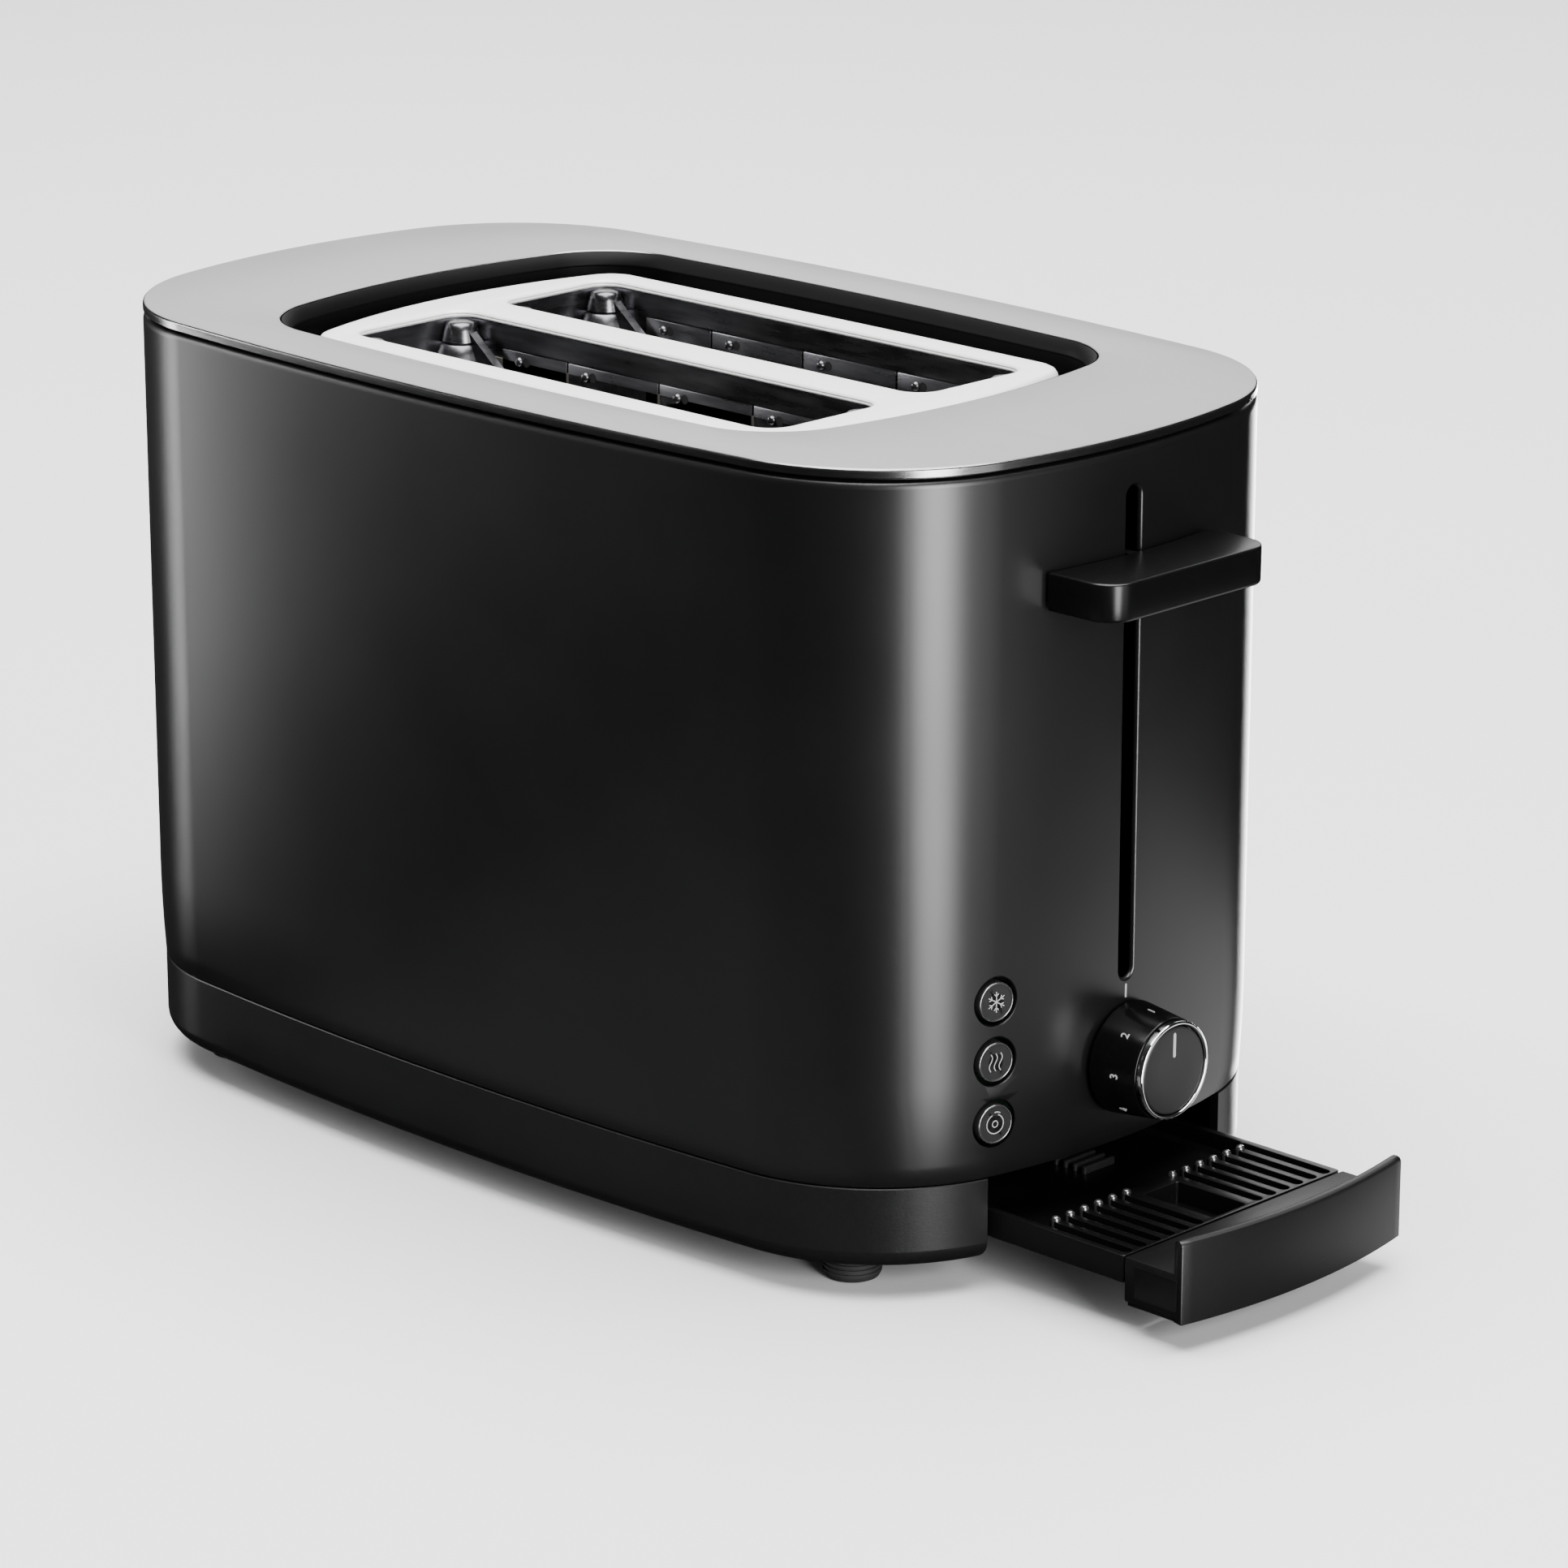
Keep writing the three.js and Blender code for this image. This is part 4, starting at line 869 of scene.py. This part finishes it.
for i in range(6):
    for side in (-1, 1):
        pin = turned(((1.15, 17), (1.15, 19.3), (1.02, 19.75), (0.75, 20.1), (0.35, 20.3)), 20)
        pins.append(moved(pin, Matrix.Translation((RIB_START - 1.0, side * (8.05 + RIB_PITCH * i), 0))))
finish_piece(joined(pins), "drawer_pins", "drawer", [bright_edge], shift=PULLED_OUT)
ridges = []
for x in (62 + RIDGE_PITCH * i for i in range(4)):
    ridges.append(box_body(x, x + 1.4, 4, 15, 0.6, [(0, 14), (0, 15.6), (0.3, 15.9)], 3))
finish_piece(joined(ridges), "drawer_latch_ridges", "drawer", [dial_black], shift=PULLED_OUT)
finish_piece(tray, "drawer_tray", "drawer", [tray_black], ["crumb_tray"], shift=PULLED_OUT)

# ------------------------------------------------------------------ pieces kept from the mechanism
# Chassis plates, racks, guides, rods, brackets, spring, magnet, circuit board and switches keep
# their own shapes, each with the finish of its real material. The lever's steel stem instead takes the
# black moulding, as painted shade for the dark slot it runs through.

zinc = surface("zinc_plate", (0.36, 0.37, 0.38), (0.52, 0.53, 0.54), 0.36, metal=0.95, grain=(140, 140, 140),
               bump=0.08, rough_spread=0.08, cloud=60)
reflector_steel = surface("reflector_steel", (0.45, 0.45, 0.45), (0.62, 0.62, 0.62), 0.22, metal=1.0,
                          grain=(40, 900, 900), bump=0.05)
mica_sheet = surface("mica_sheet", (0.045, 0.042, 0.036), (0.09, 0.083, 0.07), 0.55,
                     grain=(160, 160, 160), bump=0.2, cloud=120)
copper_wire = surface("copper_wire", (0.42, 0.17, 0.07), (0.62, 0.28, 0.12), 0.35, metal=0.9,
                      grain=(200, 200, 3000), bump=0.5)
board_resin = surface("board_resin", (0.016, 0.07, 0.025), (0.03, 0.11, 0.04), 0.42,
                      grain=(500, 500, 500), bump=0.1)
switch_plastic = surface("switch_plastic", (0.02, 0.02, 0.02), (0.03, 0.03, 0.03), 0.5,
                         grain=(1500, 1500, 1500), bump=0.1)
bright_steel = surface("bright_steel", (0.5, 0.5, 0.51), (0.62, 0.62, 0.63), 0.25, metal=1.0,
                       grain=(300, 300, 1200), bump=0.05)

kept = {
    # The stem's black is painted shade for the inside of the lever's slot, not the stem's own steel.
    moulded_black: ["lever_stem"],
    zinc: ["chassis_front_plate", "chassis_rear_plate", "rod_bracket_lower", "rod_bracket_upper",
           "magnet_core", "browning_potentiometer", "lever_carriage", "armature_plate",
           "base_screw_front_right", "base_screw_front_left", "base_screw_rear_right",
           "base_screw_rear_left"],
    reflector_steel: ["reflector_left", "reflector_right"],
    mica_sheet: ["heater_board_outer_left", "heater_board_inner_left", "heater_board_outer_right",
                 "heater_board_inner_right"],
    bright_steel: ["return_spring", "knob_shaft", "guide_rod_left", "guide_rod_right", "bread_rack_left",
                   "bread_rack_right", "bread_guide_outer_left", "bread_guide_inner_left",
                   "bread_guide_outer_right", "bread_guide_inner_right"],
    copper_wire: ["magnet_coil"],
    board_resin: ["circuit_board"],
    switch_plastic: ["switch_defrost", "switch_reheat", "switch_bagel"],
    soft_rubber: ["cord_gland"],
}
for material, names in kept.items():
    for name in names:
        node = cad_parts[name]
        node.data.materials.clear()
        node.data.materials.append(material)
